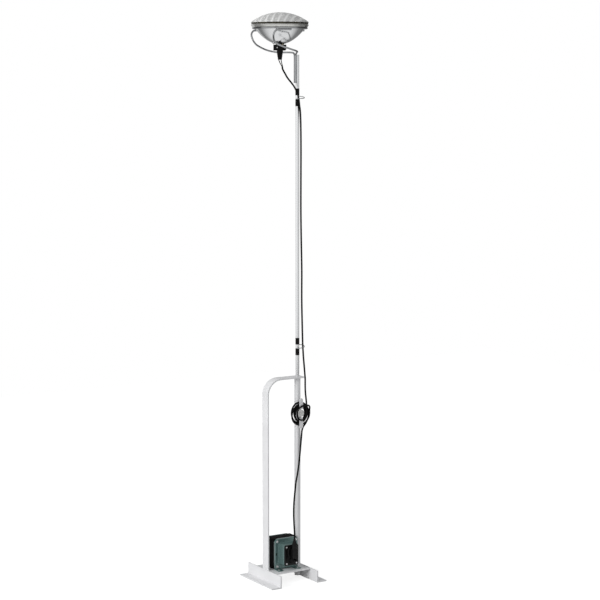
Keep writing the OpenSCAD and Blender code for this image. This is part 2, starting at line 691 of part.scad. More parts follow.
coil_last = coil_body[len(coil_body) - 1] - [0, 0, cord_d];
// least distance between stretches of the coil that lie half a turn or more apart
coil_gap = min([for (i = [0:len(coil_body) - 13], j = [i + 12:len(coil_body) - 1])
    norm(coil_body[i] - coil_body[j])]) - cord_d;
echo(coil_gap = coil_gap);

// route of the cord, chosen by hand: from the leads to the upper guide, down the stem, and
// through the lower guide
guide_top = [tube_x, 0, guide_hi];
guide_low = [tube_x, 0, guide_lo];
down_from = guide_top + [8.4, -7, -102];
down_to = guide_low + [16.9, -2, 53];
down = [[0.2, 0.4, 0.1], [0.24, 0.6, 0.25], [0.3, 0.8, 0.4], [0.5, 0.9, 0.55], [0.76, 1, 0.7],
    [0.82, 1.2, 0.85]];
head_route = concat([lead_end, lead_end + [0.4, -0.1, -4]],
    at(guide_top, [[-51.7, -0.7, 83], [-47.1, -2, 75], [-39.1, -4, 61], [-28.1, -7, 47],
        [-18.1, -9.5, 34], [-11.1, -11, 21], [-6.1, -11.5, 10], [-2.1, -10.5, -1], [0.4, -9.5, -13],
        [1.9, -9.8, -26], [4.4, -9.5, -41], [6.4, -8.5, -62]]), [down_from],
    between(down_from, down_to, down), [down_to],
    at(guide_low, [[17.7, -2.4, 18], [18.1, -2.6, 0], [18.5, -3.4, -12]]));
// from the lower guide to the strip's end, which it clears
beside = [strip_end + 6.5, -10, strip_top + 5];
crossing_route = concat(at(guide_low, [[18.5, -3.4, -12], [19.3, -5, -36]]),
    [beside + [-1, 2, 24], beside]);
// down past the strip's end, then one turn round the cleat in front of its horns
horn_front = [tube_x, -half_af - arm_out - cord_r - 0.35, clamp_z];
turn_route = concat([beside, beside + [0.5, -1, -12]],
    at(horn_front, [[20.9, 14.8, 81], [19.7, 10.8, 59], [18.9, 5.2, 39], [18.5, 3.4, 26],
        [18, 3, 14], [17, 0.8, 0], [12.4, 0, -14.5], [0, 0, -21], [-12.6, 0, -14.5],
        [-17.6, 0, 1], [-12.6, 0, 16.5], [-1, 0, 23], [9, -1.4, 25.6], [18.4, -2.8, 25.5]]),
    at(coil_first, [[-8, -9.7, 19.5], [-2.6, -5.4, 13.5], [0, 0, 6], [0, 0, 0]]));
// from the coil past the lower horn, and on to the plug in shares of the way there
drop_from = coil_last + [-29.5, -3.1, -80.5];
drop_to = [outlet_x, plug_y, plug_z + relief_top];
drop = [[0.073, 0.025, 0.1], [0.2, 0.11, 0.227], [0.382, 0.237, 0.343], [0.564, 0.364, 0.43],
    [0.727, 0.534, 0.531], [0.855, 0.661, 0.628], [0.945, 0.788, 0.725], [0.993, 0.905, 0.822],
    [1, 0.979, 0.909], [1, 1, 0.958], [1, 1, 1]];
lower_route = concat(at(coil_last, [[0, 0, 0], [0, 0, -6], [-3.5, -0.5, -14.5], [-11.5, -1.3, -27.5],
        [-21, -2.3, -37.5], [-26, -2.8, -49.5], [-27.5, -2.8, -63.5]]), [drop_from],
    between(drop_from, drop_to, drop));

module cord(route) { color("#0e0e0f") tube_along(route, cord_r, 8); }
module cord_head() { cord(head_route); }
module cord_crossing() { cord(crossing_route); }
module cord_front_turn() { cord(turn_route); }
module cord_lower() { cord(lower_route); }
module cord_coil() {
    color("#0e0e0f") tube_along(concat([coil_first], coil_body, [coil_last]), cord_r, 6, [1, 0, 0]);
}

foot_left();
foot_right();
base_tray();
handle_strip();
outer_tube();
tube_end_plug();
guide_bush();
cord_cleat();
clamp_nut();
clamp_screw();
clamp_knob();
stem_tube();
stem_slider();
guide_upper();
guide_lower();
guide_wraps_upper();
guide_wraps_lower();
cradle_ring();
cradle_arm_front();
cradle_arm_rear();
lamp_stop();
lamp_reflector();
lamp_lens();
lamp_burner();
lamp_terminals();
lamp_connector();
transformer_core();
winding_bobbin();
primary_winding();
secondary_winding();
front_bell();
rear_bell();
core_bolts();
core_nuts();
tray_screws();
tray_nuts();
socket_panel();
panel_screws();
outlet_contacts();
fuse_holder();
fuse_link();
fuse_cap();
mains_gland();
plug_body();
plug_pins();
lamp_leads();
cord_head();
cord_crossing();
cord_front_turn();
cord_coil();
cord_lower();
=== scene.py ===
import math
import random

import bmesh
import bpy
from mathutils import Matrix, Vector


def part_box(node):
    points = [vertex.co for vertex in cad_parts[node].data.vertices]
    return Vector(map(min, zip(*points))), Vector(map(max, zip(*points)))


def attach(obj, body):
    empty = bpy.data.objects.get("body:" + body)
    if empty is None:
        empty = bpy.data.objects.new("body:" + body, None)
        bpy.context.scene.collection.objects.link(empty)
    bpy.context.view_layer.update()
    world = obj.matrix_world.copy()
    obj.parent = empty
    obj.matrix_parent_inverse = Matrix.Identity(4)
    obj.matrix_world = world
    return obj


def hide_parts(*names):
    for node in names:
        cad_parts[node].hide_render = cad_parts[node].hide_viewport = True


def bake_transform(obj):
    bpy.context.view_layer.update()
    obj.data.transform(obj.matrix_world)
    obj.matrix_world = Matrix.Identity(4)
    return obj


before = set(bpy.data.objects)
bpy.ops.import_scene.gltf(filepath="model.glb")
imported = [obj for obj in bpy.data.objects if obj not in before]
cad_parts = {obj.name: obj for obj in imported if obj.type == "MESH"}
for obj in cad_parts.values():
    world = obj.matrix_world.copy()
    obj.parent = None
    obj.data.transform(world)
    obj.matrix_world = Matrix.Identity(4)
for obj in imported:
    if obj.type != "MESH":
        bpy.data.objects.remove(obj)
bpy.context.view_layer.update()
random.seed(7)

# ---------------------------------------------------------------------------------------------
# Viewpoint. The lamp is seen from the front, turned towards the handle strip, from standing
# height, with a long lens.
azimuth = math.radians(30.99)        # how far the viewer stands round from the front
swing = math.radians(0.56)           # how much further round the lens points
tilt = math.radians(6.79)            # how far the lens points down
distance, eye_height = 5.5513, 1.5534
camera = bpy.data.objects.new("camera", bpy.data.cameras.new("camera"))
bpy.context.collection.objects.link(camera)
camera.location = (-distance * math.sin(azimuth), -distance * math.cos(azimuth), eye_height)
camera.rotation_euler = (math.pi / 2 - tilt, 0, -(azimuth + swing))
camera.data.sensor_width = 36
camera.data.lens = 107.27
camera.data.clip_end = 60
bpy.context.scene.camera = camera
bpy.context.scene.view_settings.view_transform = "Standard"

# ---------------------------------------------------------------------------------------------
# Lamp cord. A limp round cord in a smooth black jacket: from the lamp's leads it runs down
# the stem through both wire guides, makes one turn in front of the cleat's horns and four
# behind them, and drops to the plug.
mm = 0.001
cord_d = 5.5 * mm


def middle_of(name):
    low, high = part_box(name)
    return (low + high) / 2


tube_x = middle_of("outer_tube").x
knob_z = middle_of("clamp_knob").z
strip_low, strip_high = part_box("handle_strip")
boot_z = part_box("lamp_connector")[0].z             # underside of the connector's boot
lamp_x = middle_of("lamp_connector").x
lead_join = Vector((lamp_x + 8.93 * mm, 0, boot_z - 23.2 * mm))    # where the cord's jacket ends
plug_low, plug_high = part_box("plug_body")
cord_in = Vector(((plug_low.x + plug_high.x) / 2, -63 * mm, plug_high.z))   # the plug's top

coil_turns, half_climb = 4, 0.25         # from layer to layer it climbs over half a turn
coil_mid = coil_turns / 2
coil_centre = Vector((tube_x, knob_z - 1.9 * mm))
turn_min = Vector((17.5, 24)) * mm
turn_step = Vector((9.1, 6.2)) * mm
layer_front, layer_back = -18.7 * mm, -12.7 * mm
slack, slack_l = 3.4 * mm, 0.56          # the first and last turns hang loose over part of a turn


def hang(turn, start):
    """How far the cord hangs out of the coil."""
    if turn <= start or turn >= start + slack_l:
        return 0
    return slack * math.sin(math.pi * (turn - start) / slack_l) ** 2


def coil_point(turn):
    """Spirals in through the front layer, climbs half a turn and spirals out at the back."""
    out = max(0, abs(turn - coil_mid) - half_climb)
    loose = hang(turn, 0.12) + hang(turn, coil_turns - slack_l) * 0.8
    radius = turn_min + turn_step * out + Vector((loose, loose))
    climb = min(1, max(0, (turn - coil_mid + half_climb) / (2 * half_climb)))
    y = layer_front + (layer_back - layer_front) * climb * climb * (3 - 2 * climb)
    angle = 2 * math.pi * turn
    return Vector((coil_centre.x + radius.x * math.cos(angle), y,
                   coil_centre.y - radius.y * math.sin(angle)))


def at(place, route):
    """A route in millimetres, written relative to a place on the lamp."""
    return [place + Vector(p) * mm for p in route]


def between(a, b, shares):
    """Points part of the way from one place to another, with a share of the way on each axis."""
    return [Vector([p + (q - p) * f for p, q, f in zip(a, b, share)]) for share in shares]


def fine(points, reach=6 * mm):
    """The same route with extra points on a smooth curve, none further apart than reach."""
    ends = [points[0] * 2 - points[1]] + points + [points[-1] * 2 - points[-2]]
    route = []
    for a, b, c, d in zip(ends, ends[1:], ends[2:], ends[3:]):
        span = (c - b).length
        in_b = (c - a) * (span / ((c - b).length + (b - a).length))
        in_c = (d - b) * (span / ((d - c).length + (c - b).length))
        steps = max(1, math.ceil(span / reach))
        for k in range(steps):
            t = k / steps
            route.append(b * (2 * t ** 3 - 3 * t ** 2 + 1) + in_b * (t ** 3 - 2 * t ** 2 + t)
                         + c * (3 * t ** 2 - 2 * t ** 3) + in_c * (t ** 3 - t ** 2))
    return route + [points[-1]]


def round_wire(name, route, diameter, round_ends=0.0):
    """A round bar along a route: a curve with a round bevel, made a mesh with closed ends."""
    line = bpy.data.curves.new(name, "CURVE")
    line.dimensions = "3D"
    line.bevel_depth = diameter / 2
    line.bevel_resolution = 4
    line.use_fill_caps = True
    spline = line.splines.new("POLY")
    spline.points.add(len(route) - 1)
    for point, place in zip(spline.points, route):
        point.co = (*place, 1)
    holder = bpy.data.objects.new(name, line)
    mesh = bpy.data.meshes.new_from_object(holder)
    bpy.data.objects.remove(holder)
    bm = bmesh.new()
    bm.from_mesh(mesh)
    bmesh.ops.remove_doubles(bm, verts=bm.verts, dist=1e-6)
    if round_ends:
        rims = {e for f in bm.faces if len(f.verts) > 4 for e in f.edges}
        bmesh.ops.bevel(bm, geom=list(rims), offset=round_ends, offset_type="OFFSET", segments=3,
                        profile=0.5, affect="EDGES", material=-1, clamp_overlap=True)
    bmesh.ops.recalc_face_normals(bm, faces=bm.faces)
    return bm


def finish_piece(name, bm, material, body=None, stands_for=(), bevel=0, crease=35):
    """Turns a bmesh into a named piece: smooth where the angle is low, its edges broken by bevel."""
    mesh = bpy.data.meshes.new(name)
    bm.to_mesh(mesh)
    bm.free()
    mesh.shade_smooth()
    mesh.set_sharp_from_angle(angle=math.radians(crease))
    piece = bpy.data.objects.new(name, mesh)
    bpy.context.collection.objects.link(piece)
    mesh.materials.append(material)
    if bevel:
        edge = piece.modifiers.new("edges", "BEVEL")
        edge.width = bevel
        edge.segments = 2
        edge.limit_method = "ANGLE"
        edge.angle_limit = math.radians(40)
        edge.harden_normals = True
    if body:
        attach(piece, body)
    if stands_for:
        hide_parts(*stands_for)
    return piece


def wire_up(tree, node, inputs):
    """Gives a node's inputs their values, or links them to the outputs of other nodes."""
    for name, value in inputs.items():
        if isinstance(value, bpy.types.NodeSocket):
            tree.links.new(value, node.inputs[name])
        else:
            node.inputs[name].default_value = value


def add_node(tree, kind, inputs=None, **settings):
    """A new shader node with its settings and inputs."""
    node = tree.nodes.new("ShaderNode" + kind)
    for name, setting in settings.items():
        setattr(node, name, setting)
    wire_up(tree, node, inputs or {})
    return node


def tones_between(tree, factor, stops):
    """A colour ramp: each stop is a place along it and a colour."""
    node = add_node(tree, "ValToRGB", {"Fac": factor})
    elements = node.color_ramp.elements
    while len(elements) < len(stops):
        elements.new(0.5)
    for element, (place, colour) in zip(elements, stops):
        element.position = place
        element.color = (*colour, 1)
    return node.outputs["Color"]


def new_finish(name):
    """A material with its node tree, its shader and where a point of the piece lies."""
    material = bpy.data.materials.new(name)
    material.use_nodes = True
    tree = material.node_tree
    place = add_node(tree, "TexCoord").outputs["Object"]
    return material, tree, tree.nodes["Principled BSDF"], place


def surface(name, dark, light, rough=(0.4, 0.5), metallic=0.0, grain=60, stretch=(1, 1, 1),
            relief=0.0, relief_grain=900, coat=0.0, specular=0.5):
    """A finish whose colour and gloss wander a little over the piece, over a fine relief."""
    material, tree, shader, place = new_finish(name)
    place = add_node(tree, "Mapping", {"Vector": place, "Scale": stretch}).outputs["Vector"]
    cloud = add_node(tree, "TexNoise", {"Vector": place, "Scale": grain, "Detail": 4}).outputs["Fac"]
    gloss = add_node(tree, "MapRange", {"Value": cloud, "From Min": 0.3, "From Max": 0.7,
                                        "To Min": rough[0], "To Max": rough[1]})
    wire_up(tree, shader, {"Base Color": tones_between(tree, cloud, [(0.35, dark), (0.68, light)]),
                           "Roughness": gloss.outputs["Result"], "Metallic": metallic,
                           "Specular IOR Level": specular, "Coat Weight": coat,
                           "Coat Roughness": 0.12})
    if relief:
        skin = add_node(tree, "TexNoise", {"Vector": place, "Scale": relief_grain, "Detail": 3})
        bump = add_node(tree, "Bump", {"Height": skin.outputs["Fac"], "Strength": relief,
                                       "Distance": 0.2 * mm})
        wire_up(tree, shader, {"Normal": bump.outputs["Normal"]})
    return material


cord_jacket = surface("cord_jacket", (0.003, 0.003, 0.003), (0.006, 0.006, 0.006), (0.4, 0.52),
                      grain=90, relief=0.15, relief_grain=500, specular=0.1)
coil_first = coil_point(0) + Vector((0, 0, cord_d))
coil_last = coil_point(coil_turns) - Vector((0, 0, cord_d))
guide_top = Vector((tube_x, 0, middle_of("guide_wraps_upper").z))
guide_low = Vector((tube_x, 0, middle_of("guide_wraps_lower").z))
down_from = guide_top + Vector((8.4, -7, -102)) * mm
down_to = guide_low + Vector((16.9, -2, 53)) * mm
down = [(0.2, 0.4, 0.1), (0.24, 0.6, 0.25), (0.3, 0.8, 0.4), (0.5, 0.9, 0.55), (0.76, 1, 0.7),
        (0.82, 1.2, 0.85)]
head_route = [lead_join, lead_join + Vector((0.4, -0.1, -4)) * mm]
head_route += at(guide_top, [(-51.7, -0.7, 83), (-47.1, -2, 75), (-39.1, -4, 61), (-28.1, -7, 47),
                             (-18.1, -9.5, 34), (-11.1, -11, 21), (-6.1, -11.5, 10),
                             (-2.1, -10.5, -1), (0.4, -9.5, -13), (1.9, -9.8, -26),
                             (4.4, -9.5, -41), (6.4, -8.5, -62)])
head_route += [down_from] + between(down_from, down_to, down) + [down_to]
head_route += at(guide_low, [(17.7, -2.4, 18), (18.1, -2.6, 0), (18.5, -3.4, -12)])
beside = Vector((strip_high.x, 0, strip_high.z)) + Vector((6.5, -10, 5)) * mm
crossing_route = at(guide_low, [(19.3, -5, -36)]) + at(beside, [(-1, 2, 24), (0, 0, 0)])
horn_front = Vector((tube_x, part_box("cord_cleat")[0].y - cord_d / 2 - 0.35 * mm, knob_z))
turn_route = at(beside, [(0.5, -1, -12)])
turn_route += at(horn_front, [(20.9, 14.8, 81), (19.7, 10.8, 59), (18.9, 5.2, 39), (18.5, 3.4, 26),
                              (18, 3, 14), (17, 0.8, 0), (12.4, 0, -14.5), (0, 0, -21),
                              (-12.6, 0, -14.5), (-17.6, 0, 1), (-12.6, 0, 16.5), (-1, 0, 23),
                              (9, -1.4, 25.6), (18.4, -2.8, 25.5)])
turn_route += at(coil_first, [(-8, -9.7, 19.5), (-2.6, -5.4, 13.5), (0, 0, 6), (0, 0, 0)])
drop_from = coil_last + Vector((-29.5, -3.1, -80.5)) * mm
drop = [(0.073, 0.025, 0.1), (0.2, 0.11, 0.227), (0.382, 0.237, 0.343), (0.564, 0.364, 0.43),
        (0.727, 0.534, 0.531), (0.855, 0.661, 0.628), (0.945, 0.788, 0.725), (0.993, 0.905, 0.822),
        (1, 0.979, 0.909), (1, 1, 0.958), (1, 1, 1)]
lower_route = at(coil_last, [(0, 0, 0), (0, 0, -6), (-3.5, -0.5, -14.5), (-11.5, -1.3, -27.5),
                             (-21, -2.3, -37.5), (-26, -2.8, -49.5), (-27.5, -2.8, -63.5)])
lower_route += [drop_from] + between(drop_from, cord_in, drop)
cord_points = (head_route + crossing_route + turn_route
               + [coil_point(i / 24) for i in range(24 * coil_turns + 1)] + lower_route)
cord_path = fine(cord_points)
lamp_cord = finish_piece("lamp_cord", round_wire("lamp_cord", cord_path, cord_d, 0.5 * mm),
                         cord_jacket,
                         stands_for=["cord_head", "cord_crossing", "cord_front_turn", "cord_coil",
                                     "cord_lower"], crease=60)
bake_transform(lamp_cord)

# Two thin leads fan out of the cord's upper end and go up into the connector's boot.
lead_d = 2.7 * mm
leads_bm = bmesh.new()
for side in (-1, 1):
    lead_route = [Vector((lamp_x + side * 4.1 * mm, 0, boot_z + 3 * mm)),
                  Vector((lamp_x + (side * 4.1 + 0.4) * mm, 0, boot_z - 1 * mm)),
                  Vector((lamp_x + (side * 2.7 + 4.4) * mm, 0, lead_join.z + 11 * mm)),
                  lead_join + Vector((side * 1.35 - 0.7, 0, 3.5)) * mm,
                  lead_join + Vector((side * 1.35, 0, -1.5)) * mm]
    lead = round_wire("lead", fine(lead_route, 2 * mm), lead_d)
    one = bpy.data.meshes.new("lead")
    lead.to_mesh(one)
    lead.free()
    leads_bm.from_mesh(one)
    bpy.data.meshes.remove(one)
lead_pair = finish_piece("lead_pair", leads_bm, cord_jacket, "stem_body",
                         ["lamp_leads"], crease=60)

# ---------------------------------------------------------------------------------------------
# Studio. A pale floor, soft light from two large lamps and from all round. Polished metal sees a
# bright pool of floor under the lamp, and walls that are bright in places and dark in others.
floor_bm = bmesh.new()
floor_half = 3.6                                   # metres from the lamp to the floor's edges
bmesh.ops.create_grid(floor_bm, x_segments=1, y_segments=1, size=floor_half)
floor_mesh = bpy.data.meshes.new("floor")
floor_bm.to_mesh(floor_mesh)
floor_bm.free()
floor = bpy.data.objects.new("floor", floor_mesh)
bpy.context.collection.objects.link(floor)
floor.location.z = -0.5 * mm                       # just clear of the feet
floor_paint = bpy.data.materials.new("floor")
floor_paint.use_nodes = True
tree = floor_paint.node_tree
tree.nodes.clear()


def maths(operation, a, b):
    """The result of a Math node in the tree at hand."""
    return add_node(tree, "Math", {0: a, 1: b}, operation=operation).outputs[0]


ray = add_node(tree, "LightPath").outputs
seen = maths("MAXIMUM", ray["Is Camera Ray"], ray["Is Transmission Ray"])
bounce = add_node(tree, "BsdfDiffuse", {"Color": (0.6, 0.6, 0.6, 1)}).outputs[0]
matt = add_node(tree, "BsdfDiffuse", {"Color": (0.42, 0.42, 0.42, 1)}).outputs[0]
glow = add_node(tree, "Emission", {"Strength": 0.82}).outputs[0]
pale = add_node(tree, "AddShader", {0: matt, 1: glow}).outputs[0]
place = add_node(tree, "TexCoord").outputs["Object"]
reach = add_node(tree, "VectorMath", {0: place}, operation="LENGTH").outputs["Value"]
pool_near, pool_far = 0.7, 2.4                     # metres from the lamp, bright up to near
pool_bright, pool_dark = 0.8, 0.2
fade = add_node(tree, "MapRange", {"Value": reach, "From Min": pool_near, "From Max": pool_far,
                                   "To Min": pool_bright, "To Max": pool_dark},
                interpolation_type="SMOOTHSTEP").outputs["Result"]
pool = add_node(tree, "Emission", {"Strength": fade}).outputs[0]
unseen = add_node(tree, "MixShader", {"Fac": ray["Is Glossy Ray"], 1: bounce, 2: pool}).outputs[0]
floor_mix = add_node(tree, "MixShader", {"Fac": seen, 1: unseen, 2: pale}).outputs[0]
add_node(tree, "OutputMaterial", {"Surface": floor_mix})
floor_mesh.materials.append(floor_paint)

# How bright the studio's walls look in reflections, by degrees round from the front; the left
# of the lamp is minus, its right plus.
wall_tones = [(-180, 0.6), (-160, 0.15), (-122, 0.08), (-106, 0.9), (-60, 1.0), (-30, 0.95),
              (0, 0.8), (30, 0.66), (44, 0.5), (56, 0.08), (120, 0.06), (150, 0.5), (180, 0.6)]
ceiling_tone = 0.42
world = bpy.data.worlds.new("studio")
bpy.context.scene.world = world
world.use_nodes = True
tree = world.node_tree
tree.nodes.clear()
ray = add_node(tree, "LightPath").outputs
unmirrored = maths("LESS_THAN", ray["Glossy Depth"], 0.5)
through = maths("MULTIPLY", ray["Is Transmission Ray"], unmirrored)
direct = maths("MAXIMUM", ray["Is Camera Ray"], through)
polished = maths("MAXIMUM", ray["Is Glossy Ray"], ray["Is Transmission Ray"])
way = add_node(tree, "TexCoord").outputs["Generated"]
way = add_node(tree, "SeparateXYZ", {0: way}).outputs
round_about = maths("ARCTAN2", way["X"], maths("MULTIPLY", way["Y"], -1))
turn = add_node(tree, "MapRange", {"Value": round_about, "From Min": -math.pi,
                                   "From Max": math.pi}).outputs["Result"]
walls = tones_between(tree, turn, [((degrees + 180) / 360, (tone, tone, tone))
                                   for degrees, tone in wall_tones])
overhead = add_node(tree, "MapRange", {"Value": way["Z"], "From Min": 0.3, "From Max": 0.75},
                    interpolation_type="SMOOTHSTEP").outputs["Result"]
ceiling = (ceiling_tone, ceiling_tone, ceiling_tone, 1)
room = add_node(tree, "Mix", {"Factor": overhead, 6: walls, 7: ceiling}, data_type="RGBA").outputs[2]
mirrored = add_node(tree, "Background", {"Color": room}).outputs[0]
soft = add_node(tree, "Background", {"Color": (0.98, 0.99, 1, 1), "Strength": 0.46}).outputs[0]
white = add_node(tree, "Background", {"Color": (1, 1, 1, 1), "Strength": 1.0}).outputs[0]
around = add_node(tree, "MixShader", {"Fac": polished, 1: soft, 2: mirrored}).outputs[0]
world_mix = add_node(tree, "MixShader", {"Fac": direct, 1: around, 2: white}).outputs[0]
add_node(tree, "OutputWorld", {"Surface": world_mix})


def soft_lamp(name, place, target, size, power):
    """A square lamp turned to a target, its size in metres and its power in watts."""
    lamp = bpy.data.lights.new(name, "AREA")
    lamp.size = size
    lamp.energy = power
    holder = bpy.data.objects.new(name, lamp)
    bpy.context.collection.objects.link(holder)
    holder.location = place
    holder.rotation_euler = (Vector(target) - Vector(place)).to_track_quat("-Z", "Y").to_euler()
    holder.visible_glossy = False


soft_lamp("key_light", (-4.3, -0.9, 2.3), (0, 0, 0.8), 2.4, 138)
soft_lamp("fill_light", (2.6, -3.2, 1.8), (0, 0, 0.9), 2.0, 4)

# ---------------------------------------------------------------------------------------------
# Feet. Two lengths of rolled steel angle, their flanges outwards on the floor, with a rolled
# fillet inside and the webs' corners rounded off. Powder-coated off-white like the whole base.
white_paint = surface("white_paint", (0.80, 0.80, 0.81), (0.86, 0.86, 0.87), (0.34, 0.46),
                      grain=14, relief=0.35, relief_grain=420)


def outline_face(bm, points):
    """One flat face from the points of its outline."""
    return bm.faces.new([bm.verts.new(p) for p in points])


def push(bm, face, way):
    """Extrudes one face and returns the face at the far end."""
    made = bmesh.ops.extrude_face_region(bm, geom=[face])["geom"]
    end = [g for g in made if isinstance(g, bmesh.types.BMFace)][0]
    bmesh.ops.translate(bm, vec=way, verts=end.verts)
    return end


def edges_where(bm, test):
    """The edges that pass a test of their middle and their direction."""
    return [e for e in bm.edges if test((e.verts[0].co + e.verts[1].co) / 2,
                                        (e.verts[1].co - e.verts[0].co).normalized())]


def same(a, b):
    """Equal within a hundredth of a millimetre."""
    return abs(a - b) < 0.01 * mm


def round_edges(bm, edges, width, segments=5):
    bmesh.ops.bevel(bm, geom=edges, offset=width, offset_type="OFFSET", segments=segments,
                    profile=0.5, affect="EDGES", material=-1, clamp_overlap=True)


foot_t, fillet = 4 * mm, 3.5 * mm
for name, side in (("foot_left", -1), ("foot_right", 1)):
    low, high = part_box(name)
    web = high.x if side < 0 else low.x            # the web's inner face
    edge = low.x if side < 0 else high.x           # the flange's outer edge
    bm = bmesh.new()
    section = [(web, 0), (edge, 0), (edge, foot_t), (web + side * foot_t, foot_t),
               (web + side * foot_t, high.z), (web, high.z)]
    face = outline_face(bm, [(x, low.y, z) for x, z in section])
    push(bm, face, (0, high.y - low.y, 0))
    bmesh.ops.recalc_face_normals(bm, faces=bm.faces)
    inner = edges_where(bm, lambda c, d: abs(d.y) > 0.9 and same(c.z, foot_t)
                        and same(c.x, web + side * foot_t))
    round_edges(bm, inner, fillet, 5)
    toe = edges_where(bm, lambda c, d: abs(d.y) > 0.9 and same(c.z, foot_t) and same(c.x, edge))
    round_edges(bm, toe, 2 * mm, 4)
    crown = edges_where(bm, lambda c, d: abs(d.y) > 0.9 and same(c.z, high.z)
                        and same(c.x, web + side * foot_t))
    round_edges(bm, crown, 1.5 * mm, 3)
    corners = edges_where(bm, lambda c, d: abs(d.x) > 0.9 and same(c.z, high.z))
    round_edges(bm, corners, 3 * mm, 4)
    finish_piece(name + "_angle", bm, white_paint, "frame_body", [name], 0.45 * mm)

# ---------------------------------------------------------------------------------------------
# Tray. A flat plate welded between the feet; its corners are rounded, and a notch at the left
# lets the handle strip through.
low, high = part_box("base_tray")
strip_t = 5 * mm
notch = low.x + strip_t + 0.2 * mm
bm = bmesh.new()
plate = [(high.x, low.y), (high.x, high.y), (low.x, high.y), (low.x, strip_high.y + 0.2 * mm),
         (notch, strip_high.y + 0.2 * mm), (notch, strip_low.y - 0.2 * mm),
         (low.x, strip_low.y - 0.2 * mm), (low.x, low.y)]
face = outline_face(bm, [(x, y, low.z) for x, y in plate])
push(bm, face, (0, 0, high.z - low.z))
bmesh.ops.recalc_face_normals(bm, faces=bm.faces)
outer = edges_where(bm, lambda c, d: abs(d.z) > 0.9 and abs(c.y) > 0.05)
round_edges(bm, outer, 8 * mm, 8)
finish_piece("tray_plate", bm, white_paint, "frame_body", ["base_tray"], 0.5 * mm)


def weld_bead(name, start, end, radius):
    """A run of weld metal in a corner: a bar whose thickness ripples along its length."""
    count = max(6, int((end - start).length / (1.3 * mm)))
    bm = round_wire(name, [start.lerp(end, i / count) for i in range(count + 1)], 2 * radius,
                    0.4 * radius)
    for v in bm.verts:
        t = (v.co - start).dot(end - start) / (end - start).length_squared
        axis = start.lerp(end, t)
        v.co = axis + (v.co - axis) * (0.9 + 0.14 * math.sin(t * count * 1.9))
    return bm


weld_x, weld_z, weld_r = 64.8 * mm, low.z - 0.2 * mm, 1.5 * mm
weld_runs = [(-1, -50, -22), (-1, 22, 50), (1, -50, -16), (1, 16, 50)]     # side, from, to in mm
for i, (side, start, end) in enumerate(weld_runs):
    bead = weld_bead("weld", Vector((side * weld_x, start * mm, weld_z)),
                     Vector((side * weld_x, end * mm, weld_z)), weld_r)
    finish_piece("tray_weld_%d" % (i + 1), bead, white_paint, "frame_body")

# ---------------------------------------------------------------------------------------------
# Handle strip. One flat bar, 34 by 5 mm: it rises from the left foot, bends over at the top and
# ends past the tube, which passes its hexagonal stem through it.
low, high = strip_low, strip_high
bend_r = 50 * mm


def swing_face(bm, face, centre, axis, angle, steps):
    """Sweeps one face round an axis and returns the face at the far end."""
    made = bmesh.ops.spin(bm, geom=[face], cent=centre, axis=axis, angle=angle, steps=steps,
                          use_duplicate=False)["geom_last"]
    return [g for g in made if isinstance(g, bmesh.types.BMFace)][0]


def clear_inside(bm):
    """Takes out the faces that sweeping has left inside a bar, then turns the rest outwards."""
    left = [f for f in bm.faces if all(len(e.link_faces) > 2 for e in f.edges)]
    bmesh.ops.delete(bm, geom=left, context="FACES_ONLY")
    bmesh.ops.recalc_face_normals(bm, faces=bm.faces)


bend_x, bend_z = low.x + bend_r, high.z - bend_r
bm = bmesh.new()
face = outline_face(bm, [(low.x, low.y, low.z), (low.x + strip_t, low.y, low.z),
                         (low.x + strip_t, high.y, low.z), (low.x, high.y, low.z)])
face = push(bm, face, (0, 0, bend_z - low.z))
face = swing_face(bm, face, (bend_x, 0, bend_z), (0, 1, 0), math.pi / 2, 20)
push(bm, face, (high.x - bend_x, 0, 0))
clear_inside(bm)
finish_piece("handle_bar", bm, white_paint, "frame_body", ["handle_strip"],
             0.9 * mm)

# ---------------------------------------------------------------------------------------------
# Outer tube. Hexagonal steel tube with softly drawn corners, coated like the base. A black
# plug closes its lower end, and a plastic bush sits in its mouth under the strip.
tube_low, tube_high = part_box("outer_tube")
tube_paint = surface("tube_paint", (0.79, 0.79, 0.80), (0.85, 0.85, 0.86), (0.3, 0.42),
                     grain=14, relief=0.25, relief_grain=420)


def hex_ring(bm, across, x, z):
    """A six-sided face, two of its corners on the X axis."""
    circle = bmesh.ops.create_circle(bm, cap_ends=True, segments=6, radius=across / math.sqrt(3))
    bmesh.ops.rotate(bm, verts=circle["verts"], cent=(0, 0, 0),
                     matrix=Matrix.Rotation(math.radians(30), 3, "Z"))
    bmesh.ops.translate(bm, verts=circle["verts"], vec=(x, 0, z))
    return circle["verts"][0].link_faces[0]


def hex_bar(across, bottom, top, corner):
    """An upright hexagonal bar with rounded corners."""
    bm = bmesh.new()
    push(bm, hex_ring(bm, across, tube_x, bottom), (0, 0, top - bottom))
    bmesh.ops.recalc_face_normals(bm, faces=bm.faces)
    round_edges(bm, edges_where(bm, lambda c, d: abs(d.z) > 0.9), corner, 4)
    return bm


tube_af = tube_high.y - tube_low.y
bm = hex_bar(tube_af, tube_low.z, tube_high.z, 1.1 * mm)
finish_piece("tube_shell", bm, tube_paint, "frame_body", ["outer_tube"], 0.3 * mm)

# ---------------------------------------------------------------------------------------------
# Stem. Drawn hexagonal tube, nickel-plated, with sharp drawn corners and a closed upper end.
nickel = surface("nickel", (0.80, 0.81, 0.82), (0.90, 0.91, 0.92), (0.14, 0.24), metallic=1.0,
                 grain=420, stretch=(1, 1, 0.02), relief=0.10, relief_grain=900)
low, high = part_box("stem_tube")
stem_af = high.y - low.y
bm = hex_bar(stem_af, low.z, high.z, 0.5 * mm)
finish_piece("stem_bar", bm, nickel, "stem_body", ["stem_tube"], 0.35 * mm)

